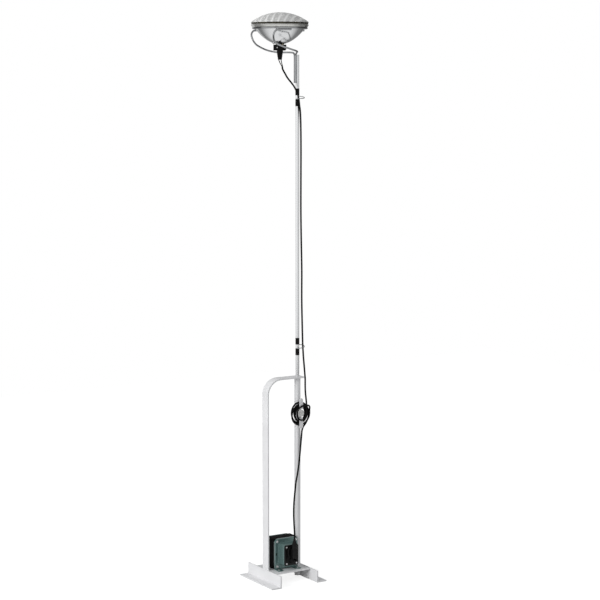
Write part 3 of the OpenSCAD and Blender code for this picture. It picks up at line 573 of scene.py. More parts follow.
# ---------------------------------------------------------------------------------------------
# Cord cleat. One flat bar bent four times: its web lies on the tube, two arms stand out from
# it above and below the clamp knob, and a round-ended horn points up and down from them.
low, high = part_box("cord_cleat")
cleat_t, bend_out = 3 * mm, 4 * mm                 # thickness, and a bend's outer radius
half_w = (high.x - low.x) / 2
arm_low, arm_high = knob_z - 17 * mm, knob_z + 17 * mm       # the arms' outer faces
y_horn, y_web = low.y + bend_out, high.y - bend_out          # where the bends' centres lie
z_low, z_high = arm_low + cleat_t - bend_out, arm_high - cleat_t + bend_out
quarter = math.pi / 2
runs = [((0, 0, z_low - low.z), (0, y_horn, z_low), -quarter),
        ((0, y_web - y_horn, 0), (0, y_web, arm_low + bend_out), quarter),
        ((0, 0, arm_high - arm_low - 2 * bend_out), (0, y_web, arm_high - bend_out), quarter),
        ((0, y_horn - y_web, 0), (0, y_horn, z_high), -quarter)]
bm = bmesh.new()
face = outline_face(bm, [(low.x, low.y, low.z), (high.x, low.y, low.z),
                         (high.x, low.y + cleat_t, low.z), (low.x, low.y + cleat_t, low.z)])
for way, centre, angle in runs:
    face = push(bm, face, way)
    face = swing_face(bm, face, centre, (1, 0, 0), angle, 6)
push(bm, face, (0, 0, high.z - z_high))
clear_inside(bm)
tips = edges_where(bm, lambda c, d: abs(d.y) > 0.9
                   and (c.z < low.z + 0.1 * mm or c.z > high.z - 0.1 * mm))
round_edges(bm, tips, half_w * 0.98, 8)
finish_piece("cleat_bar", bm, white_paint, "frame_body", ["cord_cleat"], 0.5 * mm)

# ---------------------------------------------------------------------------------------------
# Clamp. A moulded light-grey knob on a steel screw, which runs in a nut on the tube's front
# and presses on the stem. Fine grooves round its rim give the fingers hold.
grey_plastic = surface("grey_plastic", (0.82, 0.82, 0.80), (0.88, 0.88, 0.86), (0.38, 0.5),
                       grain=60, relief=0.3, relief_grain=1200)
zinc = surface("zinc", (0.62, 0.62, 0.63), (0.76, 0.76, 0.77), (0.2, 0.34), metallic=1.0,
               grain=260, relief=0.12, relief_grain=1500)


def lay(axis, place):
    """The move that lays an upright solid along an axis, its origin at a place."""
    turns = {"Z": Matrix.Identity(4), "-Y": Matrix.Rotation(math.pi / 2, 4, "X"),
             "Y": Matrix.Rotation(-math.pi / 2, 4, "X"), "X": Matrix.Rotation(math.pi / 2, 4, "Y")}
    return Matrix.Translation(place) @ turns[axis]


def turned(profile, segments=64, axis="Z", place=(0, 0, 0)):
    """A turned solid: a profile of (radius, height) spun round, then laid along an axis."""
    bm = bmesh.new()
    verts = [bm.verts.new((r, 0, h)) for r, h in profile]
    edges = [bm.edges.new(pair) for pair in zip(verts, verts[1:])]
    bmesh.ops.spin(bm, geom=verts + edges, cent=(0, 0, 0), axis=(0, 0, 1), angle=2 * math.pi,
                   steps=segments, use_merge=True, use_duplicate=False)
    bmesh.ops.remove_doubles(bm, verts=bm.verts, dist=1e-6)
    ends = [e for e in bm.edges if e.is_boundary]
    if ends:
        bmesh.ops.holes_fill(bm, edges=ends, sides=segments + 1)
    bmesh.ops.recalc_face_normals(bm, faces=bm.faces)
    bm.transform(lay(axis, place))
    return bm


def arc(cx, cz, radius, start, end, steps):
    """Points on an arc round (cx, cz), from one angle to another in degrees."""
    return [(cx + radius * math.cos(math.radians(start + (end - start) * i / steps)),
             cz + radius * math.sin(math.radians(start + (end - start) * i / steps)))
            for i in range(steps + 1)]


knob_low, knob_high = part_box("clamp_knob")
knob_r = (knob_high.x - knob_low.x) / 2
knob_h = knob_high.y - knob_low.y
soft_edge, knob_grooves, groove_deep = 1.6 * mm, 36, 0.45 * mm
profile = ([(0, 0), (knob_r - 1.2 * mm, 0), (knob_r, 1.2 * mm)]
           + arc(knob_r - soft_edge, knob_h - soft_edge, soft_edge, 0, 78, 5)
           + [(knob_r * 0.62, knob_h - 0.35 * mm), (knob_r * 0.56, knob_h - 0.8 * mm),
              (knob_r * 0.3, knob_h - 0.75 * mm), (0, knob_h - 0.7 * mm)])
bm = turned(profile, 144, "-Y", (tube_x, knob_high.y, knob_z))
for v in bm.verts:
    out = Vector((v.co.x - tube_x, 0, v.co.z - knob_z))
    if out.length > knob_r - 0.25 * mm:
        ripple = 0.5 + 0.5 * math.cos(knob_grooves * math.atan2(out.z, out.x))
        v.co -= out.normalized() * groove_deep * ripple ** 2
finish_piece("knob_disc", bm, grey_plastic, "clamp_body", ["clamp_knob"])
low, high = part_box("clamp_nut")
nut_r = (high.x - low.x) / 2
screw_r = 3 * mm
profile = [(screw_r + 0.05 * mm, 0), (nut_r - 0.4 * mm, 0), (nut_r, 0.4 * mm),
           (nut_r, high.y - low.y - 0.5 * mm), (nut_r - 0.5 * mm, high.y - low.y),
           (screw_r + 0.05 * mm, high.y - low.y), (screw_r + 0.05 * mm, 0)]
finish_piece("nut_collar", turned(profile, 48, "-Y", (tube_x, high.y, knob_z)), zinc,
             "frame_body", ["clamp_nut"])

# ---------------------------------------------------------------------------------------------
# Cord guides. One bent wire each, bound to the stem above and below its open loop by black
# shrink sleeves.
chrome = surface("chrome", (0.38, 0.39, 0.40), (0.48, 0.49, 0.50), (0.04, 0.09), metallic=1.0,
                 grain=120)
sleeve_black = surface("sleeve_black", (0.004, 0.004, 0.004), (0.008, 0.008, 0.008), (0.36, 0.48),
                       grain=180, relief=0.5, relief_grain=300, specular=0.14)
guide_wire, wrap_t, wrap_gap, wrap_l = 2.4 * mm, 0.4 * mm, 12.8 * mm, 21 * mm
foot_lift = stem_af / 2 + guide_wire / 2
near_way, far_way = 210, 30                        # where the wire's two feet lie round the stem
# The open loop between the feet, in mm from the guide's middle.
guide_loop = [(-6.9, -5.2, -5.2), (-8.5, -9, -4.8), (-6.5, -13.5, -4.3), (0, -16, -3.8),
              (8, -15, -3.3), (15, -12, -2.8), (21, -7.5, -1.8), (24.5, -1, -0.3),
              (24.5, 4, 1.2), (20, 8.5, 2.5), (14, 9.5, 3.3), (9.4, 7.4, 4.4), (7.3, 5.2, 5.2)]


def in_mm(points):
    return [Vector(p) * mm for p in points]


def foot_at(angle):
    """Where the wire lies against the stem, at an angle in degrees round it."""
    return Vector((foot_lift * math.cos(math.radians(angle)),
                   foot_lift * math.sin(math.radians(angle)), 0))


def shrink_sleeve(centre, angle):
    """A sleeve drawn tight over the hexagonal stem and the wire beside it."""
    bm = bmesh.new()
    for rise, grow in ((0, -0.15), (0.02, 0.1), (0.5, 0), (0.98, 0.1), (1, -0.15)):
        z = centre.z + (rise - 0.5) * wrap_l
        face = hex_ring(bm, stem_af + 2 * (wrap_t + grow * mm), centre.x, z)
        bmesh.ops.delete(bm, geom=[face], context="FACES_ONLY")
        ring = bmesh.ops.create_circle(bm, segments=20, radius=guide_wire / 2 + wrap_t + grow * mm)
        place = Vector((centre.x, 0, z)) + foot_at(angle)
        bmesh.ops.translate(bm, verts=ring["verts"], vec=place)
    hull = bmesh.ops.convex_hull(bm, input=bm.verts)
    loose = {g for g in hull["geom_interior"] + hull["geom_unused"]
             if isinstance(g, bmesh.types.BMVert)}
    bmesh.ops.delete(bm, geom=list(loose), context="VERTS")
    bmesh.ops.dissolve_limit(bm, angle_limit=math.radians(4), verts=bm.verts, edges=bm.edges)
    bmesh.ops.delete(bm, geom=[e for e in bm.edges if e.is_wire], context="EDGES")
    bmesh.ops.recalc_face_normals(bm, faces=bm.faces)
    return bm


for level in ("upper", "lower"):
    low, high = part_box("guide_wraps_" + level)
    centre_z = (low.z + high.z) / 2
    leave = wrap_gap / 2 - 0.7 * mm
    near, far = foot_at(near_way), foot_at(far_way)
    reach = wrap_gap / 2 + wrap_l - 1 * mm
    loop = [near - Vector((0, 0, leave))] + in_mm(guide_loop) + [far + Vector((0, 0, leave))]
    route = [near - Vector((0, 0, reach))] + fine(loop, 1.2 * mm) + [far + Vector((0, 0, reach))]
    route = [p + Vector((tube_x, 0, centre_z)) for p in route]
    finish_piece("guide_wire_" + level, round_wire("guide", route, guide_wire, 0.4 * mm), chrome,
                 "stem_body", ["guide_" + level], crease=60)
    for i, (side, angle) in enumerate(((-1, near_way), (1, far_way))):
        middle = Vector((tube_x, 0, centre_z + side * (wrap_gap + wrap_l) / 2))
        finish_piece("guide_sleeve_%s_%d" % (level, i + 1), shrink_sleeve(middle, angle),
                     sleeve_black, "stem_body",
                     ["guide_wraps_" + level] if i == 0 else (), 0.35 * mm)

# ---------------------------------------------------------------------------------------------
# Cradle. Polished wire of 5.5 mm, spot-welded: a ring under the lamp's rim, and two arms that
# follow the ring, drop round the reflector and lie side by side down the stem.
wire_d = 5.5 * mm
low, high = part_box("cradle_ring")
ring_z = (low.z + high.z) / 2
ring_r = (high.x - low.x - wire_d) / 2
bm = turned(arc(ring_r, 0, wire_d / 2, 0, 360, 20), 160, "Z", (lamp_x, 0, ring_z))
finish_piece("cradle_hoop", bm, chrome, "stem_body", ["cradle_ring"], crease=60)
leg_y = wire_d / 2 + 0.1 * mm
leg_x = -(stem_af / 2 + wire_d / 2 + 0.1 * mm - leg_y / 2) / math.cos(math.radians(30))
arm_arc = [(-ring_r * math.cos(math.radians(a)), ring_r * math.sin(math.radians(a)),
            -wire_d - 0.05 * mm) for a in (84, 78, 72, 66, 60)]
# The rear arm's way from the ring round the bowl, in mm from the ring's centre; the front arm
# is its mirror image.
arm_bow = [(-52.5, 70.5, -7), (-59, 69, -12.5), (-62, 67, -20), (-61, 64.5, -29), (-57, 62, -39),
           (-48, 63, -48.5), (-32.5, 68, -55.5), (-14, 72.5, -62), (3.5, 73.5, -67),
           (17.5, 69, -70), (27, 58.5, -72), (36, 44, -72.5), (44.5, 29.5, -72.5),
           (50.5, 16.5, -73)]
arm_leg = [(leg_x, 8 * mm, -75 * mm), (leg_x, 3.8 * mm, -81 * mm), (leg_x, leg_y, -91 * mm),
           (leg_x, leg_y, -110 * mm)]
leg_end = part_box("cradle_arm_front")[0].z
for name, side in (("front", -1), ("rear", 1)):
    upper = [Vector((lamp_x + p[0], side * p[1], ring_z + p[2]))
             for p in [Vector(q) for q in arm_arc] + in_mm(arm_bow)]
    lower = [Vector((tube_x + x, side * y, ring_z + z)) for x, y, z in arm_leg]
    route = fine(upper + lower + [Vector((tube_x + leg_x, side * leg_y, leg_end))], 2.5 * mm)
    bm = round_wire("arm", route, wire_d, 1.2 * mm)
    finish_piece("cradle_wire_" + name, bm, chrome, "stem_body",
                 ["cradle_arm_" + name], crease=60)
low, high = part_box("lamp_stop")
stub_r = (high.z - low.z) / 2
profile = ([(0, 0), (stub_r - 0.8 * mm, 0), (stub_r, 0.8 * mm)]
           + arc(stub_r - 1.2 * mm, high.x - low.x - 1.2 * mm, 1.2 * mm, 0, 90, 4)
           + [(0, high.x - low.x)])
bm = turned(profile, 28, "X", (low.x, 0, (low.z + high.z) / 2))
finish_piece("ring_stub", bm, chrome, "stem_body", ["lamp_stop"], crease=60)

# ---------------------------------------------------------------------------------------------
# Lamp. A sealed pressed-glass reflector lamp: a bowl silvered inside, with a thick moulded
# rim, a fused seal, and a domed lens whose inside is pressed into slanted prism bars.
silvered = surface("silvered", (0.80, 0.81, 0.82), (0.90, 0.91, 0.92), (0.12, 0.22), metallic=1.0,
                   grain=26, relief=0.25, relief_grain=60, coat=0.25)
rim_glass = surface("rim_glass", (0.60, 0.60, 0.58), (0.78, 0.78, 0.75), (0.06, 0.14),
                    metallic=0.85, grain=60, relief=0.3, relief_grain=70, coat=1.0)
seal_glass = surface("seal_glass", (0.012, 0.011, 0.007), (0.045, 0.040, 0.024), (0.2, 0.35),
                     grain=50, specular=0.15)
low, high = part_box("lamp_reflector")
bowl_z, lamp_r = low.z, (high.x - low.x) / 2
rim_z = ring_z + wire_d / 2 + 0.05 * mm
bowl_k = 0.125                                     # four times the bowl's focal length, in metres
bowl_edge = math.sqrt((rim_z - bowl_z) * bowl_k)
glass = 2.5 * mm
outside = [(bowl_edge * i / 40, bowl_z + (bowl_edge * i / 40) ** 2 / bowl_k) for i in range(41)]
inside = [((bowl_edge - glass) * i / 30,
           bowl_z + glass + ((bowl_edge - glass) * i / 30) ** 2 / bowl_k + glass * i / 34)
          for i in range(30, -1, -1)]
seal_low, seal_high = high.z - 2.6 * mm, high.z + 1.9 * mm
bowl = outside + inside
bm = turned(bowl, 160, "Z", (lamp_x, 0, 0))
finish_piece("reflector_bowl", bm, silvered, "stem_body", ["lamp_reflector"],
             crease=50)
rim = ([(bowl_edge - 1.2 * mm, rim_z + 0.3 * mm), (bowl_edge + 0.4 * mm, rim_z),
        (lamp_r - 4.6 * mm, rim_z)] + arc(lamp_r - 4.6 * mm, rim_z + 1.4 * mm, 1.4 * mm, -90, -35, 4)
       + [(lamp_r - 1.4 * mm, rim_z + 4.8 * mm)]
       + arc(lamp_r - 1.7 * mm, rim_z + 6.6 * mm, 1.5 * mm, -20, 75, 5)
       + [(lamp_r - 2.2 * mm, seal_low), (bowl_edge - 1.2 * mm, seal_low),
          (bowl_edge - 1.2 * mm, rim_z + 0.3 * mm)])
finish_piece("reflector_rim", turned(rim, 160, "Z", (lamp_x, 0, 0)), rim_glass,
             "stem_body", crease=50)
seal = [(bowl_edge - 1 * mm, seal_low), (lamp_r - 1.6 * mm, seal_low),
        (lamp_r - 1.2 * mm, (seal_low + seal_high) / 2), (lamp_r - 1.6 * mm, seal_high),
        (bowl_edge - 1 * mm, seal_high), (bowl_edge - 1 * mm, seal_low)]
finish_piece("lamp_seal", turned(seal, 160, "Z", (lamp_x, 0, 0)), seal_glass,
             "stem_body", crease=50)
nub_x = lamp_x - 23 * mm
profile = arc(0, 0, 3 * mm, -90, -8, 6) + [(3.6 * mm, 1.6 * mm), (4.6 * mm, 2.6 * mm)]
bm = turned(profile, 32, "Z", (nub_x, 0, bowl_z + 3.4 * mm))
finish_piece("exhaust_tip", bm, silvered, "stem_body", crease=60)

clear_glass, tree, shader, place = new_finish("lens_glass")
smear = add_node(tree, "TexNoise", {"Vector": place, "Scale": 35}).outputs["Fac"]
gloss = add_node(tree, "MapRange", {"Value": smear, "To Min": 0.02, "To Max": 0.14})
wire_up(tree, shader, {"Base Color": (0.94, 0.945, 0.945, 1), "Transmission Weight": 1.0,
                       "IOR": 1.48, "Roughness": gloss.outputs["Result"]})
bar_way = math.radians(46)                         # the prism bars run this way round from +Y
flute_pitch = 19 * mm                              # every second bar is pressed with a milky ridge
across = add_node(tree, "Mapping", {"Vector": place, "Rotation": (0, 0, bar_way)}).outputs["Vector"]
flutes = add_node(tree, "TexWave", {"Vector": across, "Scale": 2 * math.pi / (20 * flute_pitch),
                                    "Distortion": 1.0, "Detail": 0}).outputs["Fac"]
milky = add_node(tree, "MapRange", {"Value": flutes, "From Min": 0.55, "From Max": 1.0,
                                    "To Min": 0.5, "To Max": 0.85}).outputs["Result"]
frost = add_node(tree, "BsdfDiffuse", {"Color": (0.93, 0.93, 0.92, 1)}).outputs[0]
glass_mix = add_node(tree, "MixShader", {"Fac": milky, 1: shader.outputs[0], 2: frost}).outputs[0]
wire_up(tree, tree.nodes["Material Output"], {"Surface": glass_mix})
low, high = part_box("lamp_lens")
lens_edge = seal_high
lens_t, dome_h = 3.2 * mm, 30 * mm
lens_flat = high.z - dome_h                        # where the dome starts
dome_r = (lamp_r ** 2 + dome_h ** 2) / (2 * dome_h)
dome_angle = math.degrees(math.asin((lamp_r - 1.2 * mm) / dome_r))
dome_c = high.z - dome_r
inner_angle = math.degrees(math.asin((lamp_r - 6 * mm) / (dome_r - lens_t)))
profile = (arc(0, dome_c, dome_r - lens_t, 90, 90 - inner_angle, 60)
           + [(lamp_r - 6 * mm, lens_edge), (lamp_r - 0.8 * mm, lens_edge),
              (lamp_r, lens_edge + 0.8 * mm), (lamp_r, lens_flat - 0.6 * mm)]
           + arc(0, dome_c, dome_r, 90 - dome_angle, 90, 62))
bm = turned(profile, 256, "Z", (lamp_x, 0, 0))
bar_pitch, bar_depth, outer_depth = 9.5 * mm, 1.0 * mm, 0.22 * mm
bars_r = lamp_r - 7 * mm                           # the bars stop short of the rim
across_bars = Vector((math.cos(bar_way), -math.sin(bar_way), 0))
for v in bm.verts:
    flat = Vector((v.co.x - lamp_x, v.co.y, 0))
    if flat.length > bars_r or v.co.z < lens_edge + 1 * mm:
        continue
    wave = abs(math.sin(math.pi * flat.dot(across_bars) / bar_pitch))
    fade = min(1, (bars_r - flat.length) / (5 * mm))
    from_centre = (v.co - Vector((lamp_x, 0, dome_c))).length
    depth = bar_depth if from_centre < dome_r - lens_t / 2 else outer_depth
    v.co.z -= depth * wave * fade
finish_piece("prism_lens", bm, clear_glass, "stem_body", ["lamp_lens"], crease=60)

# ---------------------------------------------------------------------------------------------
# Lamp connector. A black moulded block in two halves, screwed together, which pushes onto the
# lamp's two prongs; a tapered boot below it holds the leads.
black_plastic = surface("black_plastic", (0.004, 0.004, 0.004), (0.008, 0.008, 0.008), (0.42, 0.58),
                        grain=70, relief=0.6, relief_grain=1600, specular=0.14)
low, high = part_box("lamp_connector")
block_z = high.z - 18 * mm                         # underside of the block, top of the boot


def block(bm, low, high):
    """A box between two corners, whose faces can be worked on."""
    made = bmesh.ops.create_cube(bm, size=1)["verts"]
    low, high = Vector(low), Vector(high)
    bmesh.ops.scale(bm, vec=high - low, verts=made)
    bmesh.ops.translate(bm, vec=(low + high) / 2, verts=made)
    return made


bm = bmesh.new()
block(bm, (low.x, low.y, block_z), (high.x, -0.15 * mm, high.z))
block(bm, (low.x, 0.15 * mm, block_z), (high.x, high.y, high.z))
step_edges = edges_where(bm, lambda c, d: abs(d.y) > 0.9 and c.z < block_z + 1 * mm
                         and c.x > lamp_x)
round_edges(bm, step_edges, 3.5 * mm, 1)
other = edges_where(bm, lambda c, d: abs(d.y) > 0.9)
round_edges(bm, other, 0.9 * mm, 3)
block(bm, (low.x + 1.2 * mm, -1 * mm, block_z + 1 * mm), (high.x - 1.2 * mm, 1 * mm, high.z - 1 * mm))
finish_piece("connector_block", bm, black_plastic, "stem_body",
             ["lamp_connector"], 0.35 * mm)
bm = bmesh.new()
boot_w, boot_d = 9 * mm, 6 * mm                    # half its width and depth at the top
foot_w, foot_d = 0.62, 0.72                        # and its foot's share of them
boot = block(bm, (lamp_x - boot_w, -boot_d, low.z), (lamp_x + boot_w, boot_d, block_z + 0.5 * mm))
for v in boot:
    if v.co.z < block_z:
        v.co.x = lamp_x + (v.co.x - lamp_x) * foot_w
        v.co.y *= foot_d
corners = edges_where(bm, lambda c, d: abs(d.z) > 0.9)
round_edges(bm, corners, 2.6 * mm, 5)
bmesh.ops.recalc_face_normals(bm, faces=bm.faces)
finish_piece("connector_boot", bm, black_plastic, "stem_body", (), 0.8 * mm)
for i in range(3):
    z = block_z - (5 + 6 * i) * mm
    t = (block_z - z) / (block_z - low.z)
    bm = bmesh.new()
    wide = boot_w * (1 - (1 - foot_w) * t) + 0.5 * mm
    deep = boot_d * (1 - (1 - foot_d) * t) + 0.5 * mm
    block(bm, (lamp_x - wide, -deep, z - 1 * mm), (lamp_x + wide, deep, z + 1 * mm))
    round_edges(bm, edges_where(bm, lambda c, d: abs(d.z) > 0.9), 2.6 * mm, 5)
    finish_piece("boot_rib_%d" % (i + 1), bm, black_plastic, "stem_body", (),
                 0.4 * mm)


def slot_screw(radius, height, axis, place, slot_angle=0.0):
    """A domed screw head with a milled slot."""
    rise = height * 0.55
    profile = [(0, 0), (radius, 0), (radius, height - rise)]
    profile += [(radius * math.cos(math.radians(a)), height - rise + rise * math.sin(math.radians(a)))
                for a in (20, 40, 60, 75)] + [(0, height)]
    bm = turned(profile, 32)
    slot_half, slot_floor = radius * 0.13, height - rise * 0.8
    cuts = [((slot_half, 0, 0), (1, 0, 0)), ((-slot_half, 0, 0), (1, 0, 0)),
            ((0, 0, slot_floor), (0, 0, 1))]
    for place_on, normal in cuts:
        bmesh.ops.bisect_plane(bm, geom=bm.verts[:] + bm.edges[:] + bm.faces[:], dist=1e-7,
                               plane_co=place_on, plane_no=normal)
    groove = [f for f in bm.faces if all(abs(v.co.x) < slot_half * 1.01
                                         and v.co.z > slot_floor - 1e-6 for v in f.verts)]
    sunk = bmesh.ops.extrude_face_region(bm, geom=groove)["geom"]
    for v in [g for g in sunk if isinstance(g, bmesh.types.BMVert)]:
        v.co.z = slot_floor
    bmesh.ops.delete(bm, geom=groove, context="FACES")
    bmesh.ops.remove_doubles(bm, verts=bm.verts, dist=1e-6)
    bmesh.ops.dissolve_degenerate(bm, dist=1e-6, edges=bm.edges)
    bmesh.ops.recalc_face_normals(bm, faces=bm.faces)
    bmesh.ops.rotate(bm, verts=bm.verts, cent=(0, 0, 0),
                     matrix=Matrix.Rotation(math.radians(slot_angle), 3, "Z"))
    bm.transform(lay(axis, place))
    return bm


for i, dx in enumerate((-14, 14)):
    bm = slot_screw(2.4 * mm, 1.2 * mm, "-Y", (lamp_x + dx * mm, low.y, block_z + 9 * mm), 30 + 50 * i)
    finish_piece("connector_screw_%d" % (i + 1), bm, zinc, "stem_body")

# ---------------------------------------------------------------------------------------------
# Transformer core. A stack of black-varnished steel laminations with two windows for the
# windings, held between the covers by four long bolts.
core_black = surface("core_black", (0.001, 0.001, 0.0012), (0.003, 0.003, 0.0035), (0.4, 0.55),
                     grain=90, relief=0.3, relief_grain=500, specular=0.03)
low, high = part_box("transformer_core")
core_low, core_high = low.copy(), high.copy()
core_mid = (low.z + high.z) / 2
leg_half = (high.z - low.z) / 6
window_x = (high.x - low.x - 2 * leg_half) / 2
window_h = leg_half                                # as a wasteless lamination has them
sheets, out_of_line = 44, 0.12 * mm
sheet_step = (high.y - low.y) / sheets
bm = bmesh.new()
for i in range(sheets):
    shift = random.uniform(-out_of_line, out_of_line)
    y0 = low.y + i * sheet_step
    xs = [low.x + 0.15 * mm + shift, -window_x, window_x, high.x - 0.15 * mm + shift]
    zs = [low.z + 0.1 * mm, core_mid - leg_half - window_h, core_mid - leg_half,
          core_mid + leg_half, core_mid + leg_half + window_h, high.z - 0.15 * mm + shift]
    grid = [[bm.verts.new((x, y0, z)) for x in xs] for z in zs]
    cells = [bm.faces.new((grid[r][c], grid[r][c + 1], grid[r + 1][c + 1], grid[r + 1][c]))
             for r in range(5) for c in range(3) if not (c == 1 and r in (1, 3))]
    made = bmesh.ops.extrude_face_region(bm, geom=cells)["geom"]
    moved = [g for g in made if isinstance(g, bmesh.types.BMVert)]
    bmesh.ops.translate(bm, vec=(0, sheet_step * 0.86, 0), verts=moved)
bmesh.ops.recalc_face_normals(bm, faces=bm.faces)
finish_piece("lamination_stack", bm, core_black, "frame_body", ["transformer_core"])

# ---------------------------------------------------------------------------------------------
# Transformer covers. Deep-drawn sheet steel in grey-green hammertone enamel: a flange with a
# rolled rim, a raised pan over the windings, and two foot tabs screwed to the tray.
hammer, tree, shader, place = new_finish("hammertone")
warp = add_node(tree, "TexNoise", {"Vector": place, "Scale": 160}).outputs["Color"]
bent = add_node(tree, "Mix", {"Factor": 0.003, 4: place, 5: warp}, data_type="VECTOR").outputs[1]
dimples = add_node(tree, "TexVoronoi", {"Vector": bent, "Scale": 620, "Smoothness": 0.55},
                   feature="SMOOTH_F1").outputs["Distance"]
enamel = tones_between(tree, dimples, [(0.1, (0.17, 0.28, 0.27)), (0.7, (0.085, 0.145, 0.138))])
bump = add_node(tree, "Bump", {"Height": dimples, "Strength": 0.45, "Distance": 0.3 * mm}, invert=True)
wire_up(tree, shader, {"Base Color": enamel, "Normal": bump.outputs["Normal"], "Metallic": 0.4,
                       "Roughness": 0.36, "Coat Weight": 0.35, "Coat Roughness": 0.12})


def rounded_loop(bm, half_w, half_h, radius, depth, steps=7, low_radius=None):
    """Edges of a rounded rectangle that stands in the XZ plane, depth out from the core."""
    verts = []
    for quarter_turn, (sx, sz) in enumerate(((1, 1), (-1, 1), (-1, -1), (1, -1))):
        bend = radius if sz > 0 or low_radius is None else low_radius
        for x, z in arc(sx * (half_w - bend), sz * (half_h - bend), bend,
                        90 * quarter_turn, 90 * quarter_turn + 90, steps):
            verts.append(bm.verts.new((x, -depth, z)))
    return [bm.edges.new(pair) for pair in zip(verts, verts[1:] + verts[:1])]


cover_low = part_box("front_bell")[0]
core_w = (core_high.x - core_low.x) / 2 + 0.2 * mm
core_h = (core_high.z - core_low.z) / 2
pan_depth = core_low.y - cover_low.y
pan_w, pan_h = 28 * mm, 34 * mm
tab_x, tab_r, tab_y = core_high.x - 7 * mm, 13 * mm, 19.5 * mm
tray_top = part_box("base_tray")[1].z
# Each loop: how much wider and higher, the radius of its corners, and how far out, in mm.
cover_loops = [(0, 0, 11, 0.0), (0, 0, 11, 6.6), (-0.4, -0.4, 10.6, 7.7), (-1.3, -1.3, 9.7, 8.4),
               (-2.4, -2.4, 8.6, 8.5), (-3.3, -3.3, 7.7, 8.2), (-4.2, -4.2, 6.8, 8.0)]
pan_loops = [(2.6, 2.6, 9.6, 8.0), (1.5, 1.5, 8.5, 8.15), (0.7, 0.7, 7.7, 8.8),
             (0.3, 0.3, 7.3, 10.0), (-0.4, -0.4, 6.6, 32.1), (-0.8, -0.8, 6.2, 34.1),
             (-1.7, -1.7, 5.3, 35.7), (-3.1, -3.1, 4.4, 36.45)]
for name, facing in (("front", 1), ("rear", -1)):
    bm = bmesh.new()
    loops = [rounded_loop(bm, core_w + w * mm, core_h + h * mm, r * mm, d * mm,
                          low_radius=max(r - 8.5, 1) * mm) for w, h, r, d in cover_loops]
    loops += [rounded_loop(bm, pan_w + w * mm, pan_h + h * mm, r * mm, d * mm)
              for w, h, r, d in pan_loops]
    for near, far in zip(loops, loops[1:]):
        bmesh.ops.bridge_loops(bm, edges=near + far)
    bmesh.ops.contextual_create(bm, geom=loops[-1])
    bmesh.ops.recalc_face_normals(bm, faces=bm.faces)
    for side in (-1, 1):
        outline = ([(side * tab_x + tab_r * math.cos(math.radians(a)),
                     -tab_y + tab_r * math.sin(math.radians(a))) for a in range(180, 361, 12)]
                   + [(side * tab_x + tab_r, -3 * mm), (side * tab_x - tab_r, -3 * mm)])
        tab = outline_face(bm, [(min(max(x, -core_w), core_w), y, tray_top - core_mid + 0.05 * mm)
                                for x, y in outline])
        push(bm, tab, (0, 0, 1.9 * mm))
        cove = [(-8 * mm, -core_h - 0.1 * mm), (-8 * mm, -core_h + 3 * mm)]
        cove += [(-8.4 * mm - 3.4 * mm * (1 - math.cos(math.radians(a))),
                  -core_h + 3.4 * mm * (1 - math.sin(math.radians(a)))) for a in range(0, 91, 15)]
        cove += [(-11.8 * mm, -core_h - 0.1 * mm)]
        left = max(side * tab_x - tab_r, -core_w + 0.1 * mm)
        right = min(side * tab_x + tab_r, core_w - 0.1 * mm)
        push(bm, outline_face(bm, [(left, y, z) for y, z in cove]), (right - left, 0, 0))
    turn = Matrix.Identity(4) if facing > 0 else Matrix.Rotation(math.pi, 4, "Z")
    seat = core_low.y if facing > 0 else core_high.y
    bm.transform(Matrix.Translation((0, seat, core_mid)) @ turn)
    cover = finish_piece(name + "_cover", bm, hammer, "frame_body",
                         [name + "_bell"], crease=42)
    shell = cover.modifiers.new("sheet", "SOLIDIFY")
    shell.thickness = 1.2 * mm
    shell.offset = -1
# A thin black patch on each cover's flange stands for a slot through it: painted shade for the slot's
# dark inside, where the gap and the black core behind it would show.
slot_x, slot_w, slot_h = core_high.x - 3.6 * mm, 4 * mm, 8 * mm
for name, seat, outward in (("front", core_low.y, -1), ("rear", core_high.y, 1)):
    bm = bmesh.new()
    ring = rounded_loop(bm, slot_w / 2, slot_h / 2, 1.9 * mm, 0)
    slot_face = bmesh.ops.contextual_create(bm, geom=ring)["faces"][0]
    push(bm, slot_face, (0, -0.5 * mm, 0))
    bmesh.ops.recalc_face_normals(bm, faces=bm.faces)
    bm.transform(Matrix.Translation((outward * slot_x, seat + (outward * 8.4 + 0.25) * mm,
                                     core_mid)))
    finish_piece(name + "_cover_slot_painted_shade", bm, black_plastic, "frame_body")

# ---------------------------------------------------------------------------------------------
# Fasteners of the base. Zinc-plated slotted screws on washers clamp the covers and the core;
# their nuts are at the back. Shorter ones hold the foot tabs to the tray.
bolt_x, bolt_z = core_high.x - 7 * mm, (core_high.z - core_low.z) / 2 - 8 * mm
low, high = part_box("core_bolts")
nut_low, nut_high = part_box("core_nuts")


def four_places(first, second):
    """The corners of a rectangle, counted from 1."""
    return enumerate([(a, b) for a in first for b in second], 1)


def straight_bar(bm, sides, radius, length, axis, middle):
    """Adds a straight bar, round or of a few flat sides, whose middle lies at a place."""
    bmesh.ops.create_cone(bm, cap_ends=True, segments=sides, radius1=radius, radius2=radius,
                          depth=length, matrix=lay(axis, middle))


